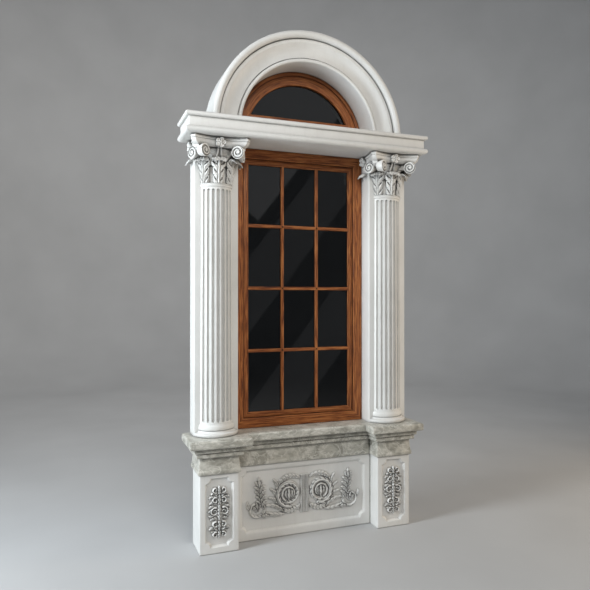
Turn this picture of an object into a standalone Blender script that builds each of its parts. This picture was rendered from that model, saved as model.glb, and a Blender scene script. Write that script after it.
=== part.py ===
"""A classical window surround: pedestals, marble sill, engaged columns, lintel, arch and timber window.

Metres, +Z up. The front faces -Y. The origin is under the middle of the whole, on the ground.
"""

import math

import bmesh
import bpy
from mathutils import Matrix, Vector

# Joint left open between neighbouring pieces
JOINT = 0.0003

# Faces that meet at less than this angle, in degrees, are shaded as one
SMOOTH_ANGLE = 35

# Plan: the distance between the column axes, and how far each member stands out from the stone's back
AXIS_SPAN = 1.637
PEDESTAL_WIDTH = 0.328
PEDESTAL_DEPTH = 0.2865
APRON_DEPTH = 0.139
PILASTER_WIDTH = 0.38
PILASTER_DEPTH = 0.17
COLUMN_AXIS_DEPTH = 0.085
ENTABLATURE_DEPTH = 0.404
ENTABLATURE_OVERHANG = 0.3015

# Heights
PEDESTAL_HEIGHT = 0.654
MARBLE_HEIGHT = 0.296
COLUMN_HEIGHT = 2.485
ENTABLATURE_HEIGHT = 0.167

# Sunk panels: margins around the moulding, and the moulding itself
PEDESTAL_PANEL_SIDE = 0.0435
PEDESTAL_PANEL_FOOT = 0.050
PEDESTAL_PANEL_HEAD = 0.032
APRON_PANEL_SIDE = 0.058
APRON_PANEL_FOOT = 0.068
APRON_PANEL_HEAD = 0.045
PANEL_NOTCH = 0.044
PANEL_BEVEL = 0.022
PANEL_RECESS = 0.020
NOTCH_STEPS = 2

# Carving on the panels: clear margins round it, and how far it stands up from the sunk floor
PEDESTAL_CARVING_SIDE = 0.0355
PEDESTAL_CARVING_END = 0.0735
APRON_CARVING_SIDE = 0.056
APRON_CARVING_END = 0.097
APRON_CARVING_LIFT = 0.016
CARVING_RISE = 0.016
CARVING_SINK = 0.004
CARVING_SINK_STEP = 0.00007
UNDERPASS = 0.93

# Marble moulding, from its foot upwards
BEAD_HEIGHT = 0.037
BEAD_OUT = 0.018
BEAD_QUIRK = 0.002
FRIEZE_HEIGHT = 0.106
FRIEZE_FOOT_OUT = 0.012
FRIEZE_HOLLOW_OUT = 0.003
LOWER_FILLET_HEIGHT = 0.042
LOWER_FILLET_OUT = 0.036
UPPER_FILLET_HEIGHT = 0.041
UPPER_FILLET_OUT = 0.053
SLAB_OUT = 0.098
SLAB_ROUND = 0.016
FILLET_ROUND = 0.010
SCRIBE_SLACK = 3 * JOINT

# Pilaster
PILASTER_EDGE_ROUND = 0.008

# Column base
PLINTH_RADIUS = 0.205
PLINTH_HEIGHT = 0.048
PLINTH_FACE_HEIGHT = 0.030
PLINTH_ROUND = 0.006
PLINTH_SHOULDER_RADIUS = 0.176
TORUS_RADIUS = 0.1735
TORUS_HEIGHT = 0.048
BASE_FILLET_RADIUS = 0.1655
BASE_FILLET_HEIGHT = 0.010
BASE_STEPS = 7

# Column shaft
SHAFT_FOOT_RADIUS = 0.1625
SHAFT_NECK_RADIUS = 0.156
FLUTES_IN_CIRCLE = 24
FLUTE_SHARE = 0.74
FLUTE_DEPTH = 0.011
FLUTE_STEPS = 3
FLUTE_CLEAR_FOOT = 0.012
FLUTE_CLEAR_HEAD = 0.016
FLUTE_TIP_SHARE = 0.3
ASTRAGAL_HEIGHT = 0.029
ASTRAGAL_OUT = 0.008

# Capital
CAPITAL_HEIGHT = 0.371
CAPITAL_LAP = 0.030
BELL_FOOT_RADIUS = 0.140
BELL_LIP_RADIUS = 0.182
BELL_STEPS = 8
ABACUS_HEIGHT = 0.080
ABACUS_HALF_WIDTH = 0.250
ABACUS_FRONT = 0.275
ABACUS_HORN = 0.030
ABACUS_HOLLOW = 0.046
ABACUS_UNDERCUT = 0.034
ABACUS_INNER_BACK = 0.060
ABACUS_STEPS = 4
LEAF_BEARINGS = (-90, -45, 0, 45, 90)
LEAF_FOOT_RADIUS = 0.152
LEAF_HEAD_RADIUS = 0.180
LEAF_STRAIGHT = 0.184
LEAF_CURL = 0.028
LEAF_CURL_TURN = 150
LEAF_HALF_WIDTH = 0.060
LEAF_THICKNESS = 0.022
LEAF_RIB = 0.007
LEAF_LOBE = 0.13
LEAF_STEPS = 4
STALK_BEARINGS = (-22.5, 22.5)
STALK_HALF_WIDTH = 0.020
STALK_RIDGE = 0.010
STALK_LEAN = 0.042
STALK_DEPTH = 0.030
ARM_RADII = (0.140, 0.240, 0.300)
ARM_DROPS = (0.085, 0.070, 0.020)
ARM_HALF_WIDTHS = (0.040, 0.036, 0.026)
ARM_LAP = 0.012
VOLUTE_RADIUS = 0.053
VOLUTE_RIM = 0.017
VOLUTE_SINK = 0.010
VOLUTE_ROOT = 0.080
VOLUTE_DROP = 0.129
VOLUTE_FRONT = (0.138, -0.262, -35)
VOLUTE_SIDE = (0.212, -0.140, 62)
VOLUTE_STEPS = 7
ROSETTE_RADIUS = 0.042
ROSETTE_RISE = 0.030
ROSETTE_ROOT = 0.030
ROSETTE_PETALS = 5
ROSETTE_DROP = 0.049

# Lintel moulding, from its head downwards
LINTEL_FILLET_HEIGHT = 0.035
LINTEL_FASCIA_HEIGHT = 0.081
LINTEL_FASCIA_IN = 0.027
LINTEL_ROLL_IN = 0.030
LINTEL_BED = 0.004
LINTEL_ROUND = 0.012

# Arch, whose inner face is in line with the pilasters' inner faces
ARCH_BAND = 0.2595
ARCH_CENTRE_DROP = 0.054
ARCH_DEPTH = 0.330
ARCH_ROLL = 0.060
ARCH_GROOVE_DEPTH = 0.274
ARCH_GROOVE_WIDTH = 0.006
ARCH_STEP = 0.039
ARCH_STEP_DEPTH = 0.286
ARCH_CHAMFER = 0.006
ARCH_COVE_DEPTH = 0.246
ARCH_COVE_LIP = 0.008
ARCH_INNER_GROOVE = 0.040
ARCH_INNER_GROOVE_WIDTH = 0.008
ARCH_INNER_GROOVE_DEPTH = 0.236
ARCH_BEAD_DEPTH = 0.275
ARCH_SEGMENTS = 18

# Timber window
TIMBER_FRONT = 0.020
TIMBER_BEHIND = 0.035
FRAME_WIDTH = 0.088
FRAME_MOULDING = 0.010
SASH_WIDTH = 0.050
SASH_SET_BACK = 0.014
SASH_DEPTH = 0.036
SASH_MOULDING = 0.008
BAR_WIDTH = 0.030
BAR_DEPTH = 0.020
LIGHTS_ACROSS = 3
LIGHTS_HIGH = 4
GLASS_THICKNESS = 0.006
GLASS_HOLD = 0.015

# Timber fanlight
FANLIGHT_RING = 0.120
FANLIGHT_RAIL = 0.143
FANLIGHT_STEP = 0.030
FANLIGHT_STEP_BACK = 0.008
QUIRK = 0.004

# Sizes that follow from those above
HALF_SPAN = AXIS_SPAN / 2
STONE_BACK = (ENTABLATURE_DEPTH - TIMBER_BEHIND) / 2
SILL_TOP = PEDESTAL_HEIGHT + MARBLE_HEIGHT
SOFFIT = SILL_TOP + COLUMN_HEIGHT
LINTEL_TOP = SOFFIT + ENTABLATURE_HEIGHT
CAPITAL_FOOT = SOFFIT - CAPITAL_HEIGHT
OPENING_HALF = HALF_SPAN - PILASTER_WIDTH / 2
FLUTE_ANGLE = 2 * math.pi / FLUTES_IN_CIRCLE


def clear_scene():
    for obj in list(bpy.data.objects):
        bpy.data.objects.remove(obj, do_unlink=True)


def make_material(name, colour, roughness, alpha=1.0):
    material = bpy.data.materials.new(name)
    material.use_nodes = True
    shader = material.node_tree.nodes["Principled BSDF"]
    shader.inputs["Base Color"].default_value = (*colour, 1.0)
    shader.inputs["Roughness"].default_value = roughness
    shader.inputs["Metallic"].default_value = 0.0
    shader.inputs["Alpha"].default_value = alpha
    return material


def loft(loops, ring=False):
    """A closed shell over equal loops of points, capped at both ends or joined into a ring."""
    points = [point for loop in loops for point in loop]
    size = len(loops[0])
    faces = []
    for i in range(len(loops) if ring else len(loops) - 1):
        low = i * size
        high = (i + 1) % len(loops) * size
        for j in range(size):
            k = (j + 1) % size
            faces.append((low + j, low + k, high + k, high + j))
    if not ring:
        faces.append(tuple(range(size)))
        faces.append(tuple(range(len(points) - size, len(points))))
    return points, faces


def box_shell(low, high):
    loops = []
    for z in (low[2], high[2]):
        loops.append([(low[0], low[1], z), (high[0], low[1], z), (high[0], high[1], z), (low[0], high[1], z)])
    return loft(loops)


def moved(shell, matrix):
    points, faces = shell
    return [matrix @ Vector(point) for point in points], faces


def make_object(name, shells, material, location=(0, 0, 0), collection=None):
    """One object from closed shells, each turned to face outwards."""
    mesh = bpy.data.meshes.new(name)
    work = bmesh.new()
    for points, faces in shells:
        corners = [work.verts.new(point) for point in points]
        for face in faces:
            work.faces.new([corners[i] for i in face])
    bmesh.ops.recalc_face_normals(work, faces=work.faces)
    work.to_mesh(mesh)
    work.free()
    mesh.materials.append(material)
    mesh.shade_smooth()
    mesh.set_sharp_from_angle(angle=math.radians(SMOOTH_ANGLE))
    obj = bpy.data.objects.new(name, mesh)
    obj.location = location
    (collection or bpy.context.scene.collection).objects.link(obj)
    return obj


def cut(obj, name, shells, material):
    """Takes the shells, which keep clear of each other, away from obj."""
    cutter = make_object(name, shells, material, obj.location)
    cutter.hide_render = True
    cutter.display_type = "WIRE"
    modifier = obj.modifiers.new(name, "BOOLEAN")
    modifier.operation = "DIFFERENCE"
    modifier.object = cutter


def grow(obj, name, shells, material):
    """Fuses the shells, which may run into each other, with obj as one solid."""
    guides = bpy.data.collections.new(name)
    bpy.context.scene.collection.children.link(guides)
    guides.hide_render = True
    for i, shell in enumerate(shells):
        guide = make_object(f"{name}.{i}", [shell], material, obj.location, collection=guides)
        guide.hide_render = True
        guide.display_type = "WIRE"
    modifier = obj.modifiers.new(name, "BOOLEAN")
    modifier.operation = "UNION"
    modifier.operand_type = "COLLECTION"
    modifier.collection = guides


def arc(centre, radius, start, end, steps):
    """Points of an arc between two angles in degrees, both ends included."""
    points = []
    for i in range(steps + 1):
        angle = math.radians(start + (end - start) * i / steps)
        points.append((centre[0] + radius * math.cos(angle), centre[1] + radius * math.sin(angle)))
    return points


# Panelled blocks


def notched_outline(half_width, foot, head, inset, y):
    """A rectangle whose corners are hollowed by quarter circles, drawn inset from its full size."""
    reach = PANEL_NOTCH + inset
    slip = math.degrees(math.asin(inset / reach))
    corners = (
        (half_width, head, 270, 180),
        (-half_width, head, 360, 270),
        (-half_width, foot, 90, 0),
        (half_width, foot, 180, 90),
    )
    outline = []
    for x, z, start, end in corners:
        outline += [(px, y, pz) for px, pz in arc((x, z), reach, start - slip, end + slip, NOTCH_STEPS)]
    return outline


def panel_shell(half_width, foot, head, depth):
    """The sunk panel with its bevelled moulding, as the shape that is cut away."""
    slope = PANEL_BEVEL / PANEL_RECESS
    proud = PANEL_BEVEL / 2
    loops = [
        notched_outline(half_width + proud, foot - proud, head + proud, 0, -depth - proud / slope),
        notched_outline(half_width, foot, head, 0, -depth),
        notched_outline(half_width, foot, head, PANEL_BEVEL, -depth + PANEL_RECESS),
    ]
    return loft(loops)


def panelled_block(name, width, depth, height, margins, carving, material, x):
    """A block with a sunk panel on its front and a carving on the panel's floor."""
    side, foot, head = margins
    strands, carving_size, clear, lift = carving
    location = (x, STONE_BACK, 0)
    block = make_object(name, [box_shell((-width / 2, -depth, 0), (width / 2, 0, height))], material, location)
    half_panel = width / 2 - side
    cut(block, name + ".panel", [panel_shell(half_panel, foot, height - head, depth)], material)
    panel_height = height - head - foot
    scale = min(2 * (half_panel - clear[0]) / carving_size[0], (panel_height - 2 * clear[1]) / carving_size[1])
    middle = foot + panel_height / 2 + lift
    floor = -depth + PANEL_RECESS
    shells = [strand_shell(strand, scale, floor, middle, i) for i, strand in enumerate(strands)]
    grow(block, name + ".carving", shells, material)
    return block


# Carving: every strand is a path on the panel with a width at each point and a rise, in shares of the
# carving's height


def strand_shell(strand, scale, floor, middle, order):
    """A strand with a ridge along its path, let into the panel's floor."""
    path, widths, rise = strand
    sink = CARVING_SINK + order * CARVING_SINK_STEP
    loops = []
    for i, (x, z) in enumerate(path):
        before = path[max(i - 1, 0)]
        after = path[min(i + 1, len(path) - 1)]
        along = Vector((after[0] - before[0], after[1] - before[1])).normalized()
        half = widths[i] / 2
        left = ((x - along.y * half) * scale, floor + sink, middle + (z + along.x * half) * scale)
        right = ((x + along.y * half) * scale, floor + sink, middle + (z - along.x * half) * scale)
        crest = (x * scale, floor - CARVING_RISE * rise, middle + z * scale)
        loops.append([left, crest, right])
    return loft(loops)


def spiral(centre, start_radius, end_radius, start, turn, steps):
    """A path that winds about a centre from one radius to another; angles in degrees."""
    path = []
    for i in range(steps + 1):
        share = i / steps
        angle = math.radians(start + turn * share)
        radius = start_radius + (end_radius - start_radius) * share
        path.append((centre[0] + radius * math.cos(angle), centre[1] + radius * math.sin(angle)))
    return path


def bow(start, end, bulge, steps):
    """A path from start to end that bulges to its left by a share of its length."""
    path = []
    for i in range(steps + 1):
        share = i / steps
        lift = 4 * bulge * share * (1 - share)
        x = start[0] + (end[0] - start[0]) * share - (end[1] - start[1]) * lift
        z = start[1] + (end[1] - start[1]) * share + (end[0] - start[0]) * lift
        path.append((x, z))
    return path


def stem(path, width, taper=0.35, rise=1.0):
    """A strand that thins towards its end."""
    last = len(path) - 1
    return path, [width * (1 - (1 - taper) * i / last) for i in range(last + 1)], rise


def leaf(path, width, rise=0.9):
    """A strand that swells and then comes to a point."""
    last = len(path) - 1
    widths = [width * (0.25 + 0.75 * math.sin(math.pi * (0.12 + 0.83 * i / last))) for i in range(last + 1)]
    return path, widths, rise


def mirrored(strands):
    """The strands with their copies on the other side of the upright axis, which pass under them there."""
    copies = [([(-x, z) for x, z in path], widths, rise * UNDERPASS) for path, widths, rise in strands]
    return strands + copies


def arabesque():
    """The upright carving of the pedestals, one high and two fifths wide."""
    half = [
        stem(spiral((0.085, 0.435), 0.055, 0.020, 250, 300, 4), 0.032),
        stem(bow((0.004, 0.29), (0.070, 0.385), -0.25, 2), 0.032),
        stem(spiral((0.095, 0.235), 0.062, 0.022, 120, -340, 5), 0.034),
        leaf(bow((0.03, 0.29), (0.165, 0.335), 0.20, 2), 0.042),
        stem(spiral((0.105, 0.020), 0.090, 0.030, 115, -400, 6), 0.038),
        leaf(bow((0.115, -0.07), (0.195, -0.135), 0.15, 2), 0.048),
        stem(spiral((0.080, -0.235), 0.070, 0.022, 100, -340, 5), 0.034),
        stem(bow((0.004, -0.355), (0.105, -0.170), -0.22, 2), 0.034),
        stem(spiral((0.085, -0.425), 0.058, 0.020, 110, -300, 4), 0.032),
    ]
    middle = [
        leaf(bow((0, 0.19), (0, 0.46), 0, 2), 0.060),
        leaf(bow((0, -0.12), (0, 0.15), 0, 2), 0.070),
        leaf(bow((0, -0.20), (0, -0.46), 0, 2), 0.060),
    ]
    return mirrored(half) + middle


def scrollwork():
    """The long carving of the apron: a fluted stem, and on each side a leafy spiral, a scroll and a sprig."""
    coil = (0.443, 0.040)
    half = [
        stem(bow((0.060, -0.47), (0.045, 0.49), 0.0, 1), 0.090, 0.9),
        stem(spiral(coil, 0.325, 0.205, 262, 395, 8), 0.090, 0.8),
        stem(spiral(coil, 0.190, 0.150, 297, 300, 5), 0.050, 0.7),
        leaf(bow((0.36, 0.04), (0.53, 0.04), 0.0, 2), 0.180, 1.1),
        leaf(bow((0.17, -0.27), (0.66, -0.27), -0.19, 3), 0.105),
        leaf(bow((0.17, 0.44), (0.72, 0.30), 0.19, 3), 0.075),
        leaf(bow((0.64, -0.30), (0.86, 0.02), 0.16, 2), 0.062),
        leaf(bow((0.74, -0.10), (0.83, 0.39), 0.10, 2), 0.060),
        leaf(bow((0.66, -0.43), (1.06, -0.35), -0.10, 2), 0.062),
        leaf(bow((1.03, -0.44), (1.14, -0.44), 0.0, 2), 0.100, 1.1),
        stem(spiral((1.300, -0.270), 0.215, 0.100, 205, 300, 6), 0.060, 0.5),
        leaf(bow((1.47, -0.24), (1.53, -0.09), -0.20, 2), 0.060),
        stem(bow((1.10, -0.33), (1.24, 0.40), 0.06, 3), 0.042),
    ]
    for z, side in ((-0.06, 1), (0.16, -1)):
        x = 1.14 + 0.14 * (z + 0.33)
        half.append(leaf(bow((x, z - 0.05), (x + 0.11 * side, z + 0.08), 0.15 * side, 2), 0.060))
    for reach, top in ((-0.07, 0.43), (0.0, 0.50), (0.07, 0.42)):
        half.append(leaf(bow((1.235, 0.32), (1.245 + reach, top), 0.05, 2), 0.052))
    return mirrored(half)


# Marble moulding


def marble_profile():
    """Heights above the moulding's foot and the projection at each, foot to head."""
    bead = arc((FRIEZE_FOOT_OUT, BEAD_HEIGHT / 2), BEAD_HEIGHT / 2, -75, 75, 3)
    squash = (BEAD_OUT - FRIEZE_FOOT_OUT) / (BEAD_HEIGHT / 2)
    profile = [(0.0, FRIEZE_FOOT_OUT - BEAD_QUIRK)]
    profile += [(z, FRIEZE_FOOT_OUT + (out - FRIEZE_FOOT_OUT) * squash) for out, z in bead]
    for i in range(4):
        share = i / 3
        hollow = (1 - share) ** 2
        out = FRIEZE_HOLLOW_OUT + (FRIEZE_FOOT_OUT - FRIEZE_HOLLOW_OUT) * hollow
        profile.append((BEAD_HEIGHT + BEAD_QUIRK + (FRIEZE_HEIGHT - 2 * BEAD_QUIRK) * share, out))
    z = BEAD_HEIGHT + FRIEZE_HEIGHT
    for height, out in ((LOWER_FILLET_HEIGHT, LOWER_FILLET_OUT), (UPPER_FILLET_HEIGHT, UPPER_FILLET_OUT)):
        profile += rounded_step(z, height, out, FILLET_ROUND)
        z += height
    return profile + rounded_step(z, MARBLE_HEIGHT - z, SLAB_OUT, SLAB_ROUND)


def rounded_step(z, height, out, radius):
    """A flat band with rounded lower and upper edges."""
    low = arc((out - radius, z + radius), radius, -90, 0, 2)
    high = arc((out - radius, z + height - radius), radius, 0, 90, 2)
    return [(pz, px) for px, pz in low + high]


def rectangle(left, right, front, back, z):
    return [(left, front, z), (right, front, z), (right, back, z), (left, back, z)]


def cap_loops(levels, back, slack=0.0):
    """The cap's moulding round three sides of its pedestal, made larger by a slack."""
    half = PEDESTAL_WIDTH / 2 + slack
    return [rectangle(-half - out, half + out, -PEDESTAL_DEPTH - slack - out, back, z) for z, out in levels]


def pedestal_cap(side, material):
    name = "pedestal_cap_" + ("right" if side > 0 else "left")
    levels = [(max(z, JOINT), out) for z, out in marble_profile()]
    place = (side * HALF_SPAN, STONE_BACK, PEDESTAL_HEIGHT)
    return make_object(name, [loft(cap_loops(levels, 0))], material, place)


def window_sill(material):
    """The sill: its ends are scribed to the caps, and its slab runs back under the window frame."""
    slab_foot = MARBLE_HEIGHT - slab_height()
    loops = []
    for z, out in marble_profile():
        back = TIMBER_BEHIND if z > slab_foot - JOINT and out > UPPER_FILLET_OUT else 0
        loops.append(rectangle(-HALF_SPAN, HALF_SPAN, -APRON_DEPTH - out, back, max(z, JOINT)))
    sill = make_object("window_sill", [loft(loops)], material, (0, STONE_BACK, PEDESTAL_HEIGHT))
    profile = marble_profile()
    levels = [(-SLAB_OUT, profile[0][1])]
    levels += [(z - JOINT, out) for z, out in profile]
    levels.append((MARBLE_HEIGHT + SLAB_OUT, profile[-1][1]))
    scribe = loft(cap_loops(levels, 2 * TIMBER_BEHIND, SCRIBE_SLACK))
    cuts = [moved(scribe, Matrix.Translation((side * HALF_SPAN, 0, 0))) for side in (-1, 1)]
    cut(sill, "window_sill.caps", cuts, material)
    return sill


def slab_height():
    return MARBLE_HEIGHT - BEAD_HEIGHT - FRIEZE_HEIGHT - LOWER_FILLET_HEIGHT - UPPER_FILLET_HEIGHT


# Pilaster and column


def pilaster(side, material):
    name = "pilaster_" + ("right" if side > 0 else "left")
    half = PILASTER_WIDTH / 2
    low = (-half, -PILASTER_DEPTH, SILL_TOP + JOINT)
    high = (half, 0, CAPITAL_FOOT)
    pier = make_object(name, [box_shell(low, high)], material, (side * HALF_SPAN, STONE_BACK, 0))
    round_front_edges(pier, PILASTER_EDGE_ROUND)
    return pier


def round_front_edges(obj, radius):
    """Rounds the upright edges at the front with a bevel that reads its weight from them."""
    mesh = obj.data
    weights = mesh.attributes.new("bevel_weight_edge", "FLOAT", "EDGE")
    front = min(vertex.co.y for vertex in mesh.vertices)
    for edge in mesh.edges:
        ends = [mesh.vertices[i].co for i in edge.vertices]
        upright = abs(ends[0].z - ends[1].z) > radius
        if upright and max(end.y for end in ends) - front < radius:
            weights.data[edge.index].value = 1.0
    bevel = obj.modifiers.new("Rounded edges", "BEVEL")
    bevel.limit_method = "WEIGHT"
    bevel.width = radius
    bevel.segments = 2


def column_back():
    """How far in front of the column's axis its flat back lies."""
    return PILASTER_DEPTH - COLUMN_AXIS_DEPTH + JOINT


def segment_loop(radius, z, steps):
    """One level of a round member that is cut flat against the pilaster."""
    edge = math.degrees(math.acos(column_back() / radius))
    return [(x, y, z) for x, y in arc((0, 0), radius, -90 - edge, -90 + edge, steps)]


def column_place(side, z):
    return (side * HALF_SPAN, STONE_BACK - COLUMN_AXIS_DEPTH, z)


def column_base(side, material):
    name = "column_base_" + ("right" if side > 0 else "left")
    soft = PLINTH_ROUND
    profile = [(PLINTH_RADIUS - soft, JOINT), (PLINTH_RADIUS, JOINT + soft)]
    profile += [(PLINTH_RADIUS, PLINTH_FACE_HEIGHT), (PLINTH_RADIUS - soft, PLINTH_FACE_HEIGHT + soft)]
    profile += [(PLINTH_SHOULDER_RADIUS + soft, PLINTH_HEIGHT - soft), (PLINTH_SHOULDER_RADIUS, PLINTH_HEIGHT)]
    half = TORUS_HEIGHT / 2
    bulge = TORUS_RADIUS - BASE_FILLET_RADIUS
    for x, z in arc((0, PLINTH_HEIGHT + half), half, -80, 80, 4):
        profile.append((BASE_FILLET_RADIUS + bulge * x / half, z))
    top = base_height() - JOINT
    profile += [(BASE_FILLET_RADIUS, PLINTH_HEIGHT + TORUS_HEIGHT), (BASE_FILLET_RADIUS, top)]
    loops = [segment_loop(radius, z, BASE_STEPS) for radius, z in profile]
    return make_object(name, [loft(loops)], material, column_place(side, SILL_TOP))


def base_height():
    return PLINTH_HEIGHT + TORUS_HEIGHT + BASE_FILLET_HEIGHT


def flute_count_each_side():
    """Whole flutes that fit between the middle one and the flat back."""
    edge = math.acos(column_back() / SHAFT_NECK_RADIUS)
    return int((edge - FLUTE_ANGLE / 2) / FLUTE_ANGLE)


def shaft_loop(radius, z, width_share, depth_share):
    """One level of the shaft, with every flute at a share of its full width and depth."""
    edge = math.acos(column_back() / radius)
    each_side = flute_count_each_side()
    polar = [(-edge, radius)]
    for k in range(-each_side, each_side + 1):
        for j in range(FLUTE_STEPS + 1):
            across = 2 * j / FLUTE_STEPS - 1
            angle = FLUTE_ANGLE * (k + across * width_share * FLUTE_SHARE / 2)
            hollow = FLUTE_DEPTH * depth_share * math.sqrt(1 - across * across)
            polar.append((angle, radius - hollow))
    polar.append((edge, radius))
    return [(r * math.sin(a), -r * math.cos(a), z) for a, r in polar]


def column_shaft(side, material):
    """The fluted shaft, its flutes closing at both ends, with the astragal at its head."""
    name = "column_shaft_" + ("right" if side > 0 else "left")
    height = CAPITAL_FOOT - SILL_TOP - base_height()
    neck = height - ASTRAGAL_HEIGHT
    end = SHAFT_FOOT_RADIUS * FLUTE_ANGLE * FLUTE_SHARE / 2
    levels = [(0.0, *flute_end(0))]
    for share in (0, 1):
        levels.append((FLUTE_CLEAR_FOOT + end * share, *flute_end(share)))
    for share in (1, 0):
        levels.append((neck - FLUTE_CLEAR_HEAD - end * share, *flute_end(share)))
    levels.append((neck, *flute_end(0)))
    loops = []
    for z, width_share, depth_share in levels:
        radius = SHAFT_FOOT_RADIUS + (SHAFT_NECK_RADIUS - SHAFT_FOOT_RADIUS) * z / height
        loops.append(shaft_loop(radius, z, width_share, depth_share))
    half = ASTRAGAL_HEIGHT / 2
    for x, z in arc((0, neck + half), half, -80, 80, 2):
        level = min(z, height - JOINT)
        loops.append(shaft_loop(SHAFT_NECK_RADIUS + ASTRAGAL_OUT * x / half, level, *flute_end(0)))
    return make_object(name, [loft(loops)], material, column_place(side, SILL_TOP + base_height()))


def flute_end(share):
    """Width and depth of a flute as shares, at a share of the way into its rounded end."""
    inward = math.sqrt(1 - (1 - share) ** 2)
    return FLUTE_TIP_SHARE + (1 - FLUTE_TIP_SHARE) * inward, inward


# Capital


def capital(side, material):
    """Bell, leaves, volutes, abacus and rosettes, carved in one with the pilaster's head."""
    name = "capital_" + ("right" if side > 0 else "left")
    location = column_place(side, CAPITAL_FOOT)
    half = PILASTER_WIDTH / 2
    low = (-half, COLUMN_AXIS_DEPTH - PILASTER_DEPTH, -CAPITAL_LAP)
    high = (half, COLUMN_AXIS_DEPTH + CAPITAL_LAP, CAPITAL_HEIGHT - ABACUS_HEIGHT / 2)
    head = make_object(name, [box_shell(low, high)], material, location)
    backs = (COLUMN_AXIS_DEPTH + CAPITAL_LAP / 2, ABACUS_INNER_BACK)[::-side]
    shells = [bell_shell(CAPITAL_LAP / 2), abacus_shell(backs)]
    shells += [leaf_shell(bearing) for bearing in LEAF_BEARINGS]
    shells += [stalk_shell(bearing) for bearing in STALK_BEARINGS]
    shells += corner_shells() + volute_shells() + rosette_shells()
    grow(head, name + ".carving", shells, material)
    reach = ABACUS_HALF_WIDTH + CAPITAL_LAP
    behind = box_shell((-reach, COLUMN_AXIS_DEPTH, -reach), (reach, reach * 2, reach * 2))
    cut(head, name + ".wall", [behind], material)
    below = box_shell((-reach, -reach * 2, -reach), (reach, reach * 2, JOINT))
    cut(head, name + ".bed", [below], material)
    return head


def bell_shell(lap):
    """The bell, swelling to a lip under the abacus."""
    lip = CAPITAL_HEIGHT - ABACUS_HEIGHT
    flare = BELL_LIP_RADIUS - BELL_FOOT_RADIUS
    loops = []
    for share, out in ((-lap / lip, 0.0), (0.55, 0.15), (0.85, 0.45), (0.96, 1.0), (1.05, 0.8)):
        ring = arc((0, 0), BELL_FOOT_RADIUS + flare * out, 0, 360 - 360 / BELL_STEPS, BELL_STEPS - 1)
        loops.append([(x, y, lip * share) for x, y in ring])
    return loft(loops)


def abacus_outline(inset, backs, z):
    """The abacus in plan: hollow front and sides that meet in blunt horns, and where each side ends."""
    width = ABACUS_HALF_WIDTH - inset
    front = ABACUS_FRONT - inset
    outline = [(-width + ABACUS_HOLLOW * 0.8, backs[0])]
    for i in range(ABACUS_STEPS // 2, ABACUS_STEPS + 1):
        share = i / ABACUS_STEPS
        hollow = ABACUS_HOLLOW * 4 * share * (1 - share)
        outline.append((-width + hollow, front * (1 - 2 * share) + ABACUS_HORN * (2 * share - 1)))
    for i in range(ABACUS_STEPS + 1):
        share = i / ABACUS_STEPS
        hollow = ABACUS_HOLLOW * 4 * share * (1 - share)
        outline.append(((2 * share - 1) * (width - ABACUS_HORN), -front + hollow))
    outline += [(-x, y) for x, y in reversed(outline[1 : ABACUS_STEPS // 2 + 2])]
    outline.append((-outline[0][0], backs[1]))
    return [(x, y, z) for x, y in outline]


def abacus_shell(backs):
    top = CAPITAL_HEIGHT - JOINT
    foot = CAPITAL_HEIGHT - ABACUS_HEIGHT
    loops = [
        abacus_outline(ABACUS_UNDERCUT, backs, foot),
        abacus_outline(ABACUS_UNDERCUT * 0.80, backs, foot + ABACUS_HEIGHT * 0.25),
        abacus_outline(ABACUS_UNDERCUT * 0.25, backs, foot + ABACUS_HEIGHT * 0.55),
        abacus_outline(0, backs, foot + ABACUS_HEIGHT * 0.65),
        abacus_outline(0, backs, top),
    ]
    return loft(loops)


def leaf_spine(share):
    """Radius and height along the leaf's middle, and the direction in which the leaf grows there."""
    straight = LEAF_STRAIGHT / (LEAF_STRAIGHT + LEAF_CURL * math.radians(LEAF_CURL_TURN))
    if share <= straight:
        rise = share / straight
        lean = LEAF_HEAD_RADIUS - LEAF_FOOT_RADIUS
        return LEAF_FOOT_RADIUS + lean * rise, LEAF_STRAIGHT * rise, Vector((lean, LEAF_STRAIGHT)).normalized()
    turn = math.radians(LEAF_CURL_TURN) * (share - straight) / (1 - straight)
    radius = LEAF_HEAD_RADIUS + LEAF_CURL * (1 - math.cos(turn))
    return radius, LEAF_STRAIGHT + LEAF_CURL * math.sin(turn), Vector((math.sin(turn), math.cos(turn)))


def leaf_shell(bearing):
    """An acanthus leaf that hugs the bell and rolls forward at its tip, with lobed edges."""
    loops = []
    for i in range(LEAF_STEPS + 1):
        share = i / LEAF_STEPS
        radius, height, along = leaf_spine(share)
        outward = Vector((along.y, -along.x))
        lobe = 1 + LEAF_LOBE * (-1) ** i
        half = LEAF_HALF_WIDTH * (0.80 + 0.35 * math.sin(math.pi * min(share * 1.15, 1))) * lobe
        half *= 1 - 0.62 * max(share - 0.80, 0) / 0.20
        crest = Vector((radius, height)) + outward * LEAF_RIB
        back = Vector((radius, height)) - outward * LEAF_THICKNESS * (1 - 0.7 * max(share - 0.5, 0) / 0.5)
        spread = half / radius
        loops.append(
            [
                on_bell(radius, height, bearing, -spread),
                on_bell(crest.x, crest.y, bearing, 0),
                on_bell(radius, height, bearing, spread),
                on_bell(back.x, back.y, bearing, 0),
            ]
        )
    return loft(loops)


def on_bell(radius, height, bearing, spread):
    angle = math.radians(bearing) + spread
    return (radius * math.sin(angle), -radius * math.cos(angle), height)


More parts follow.
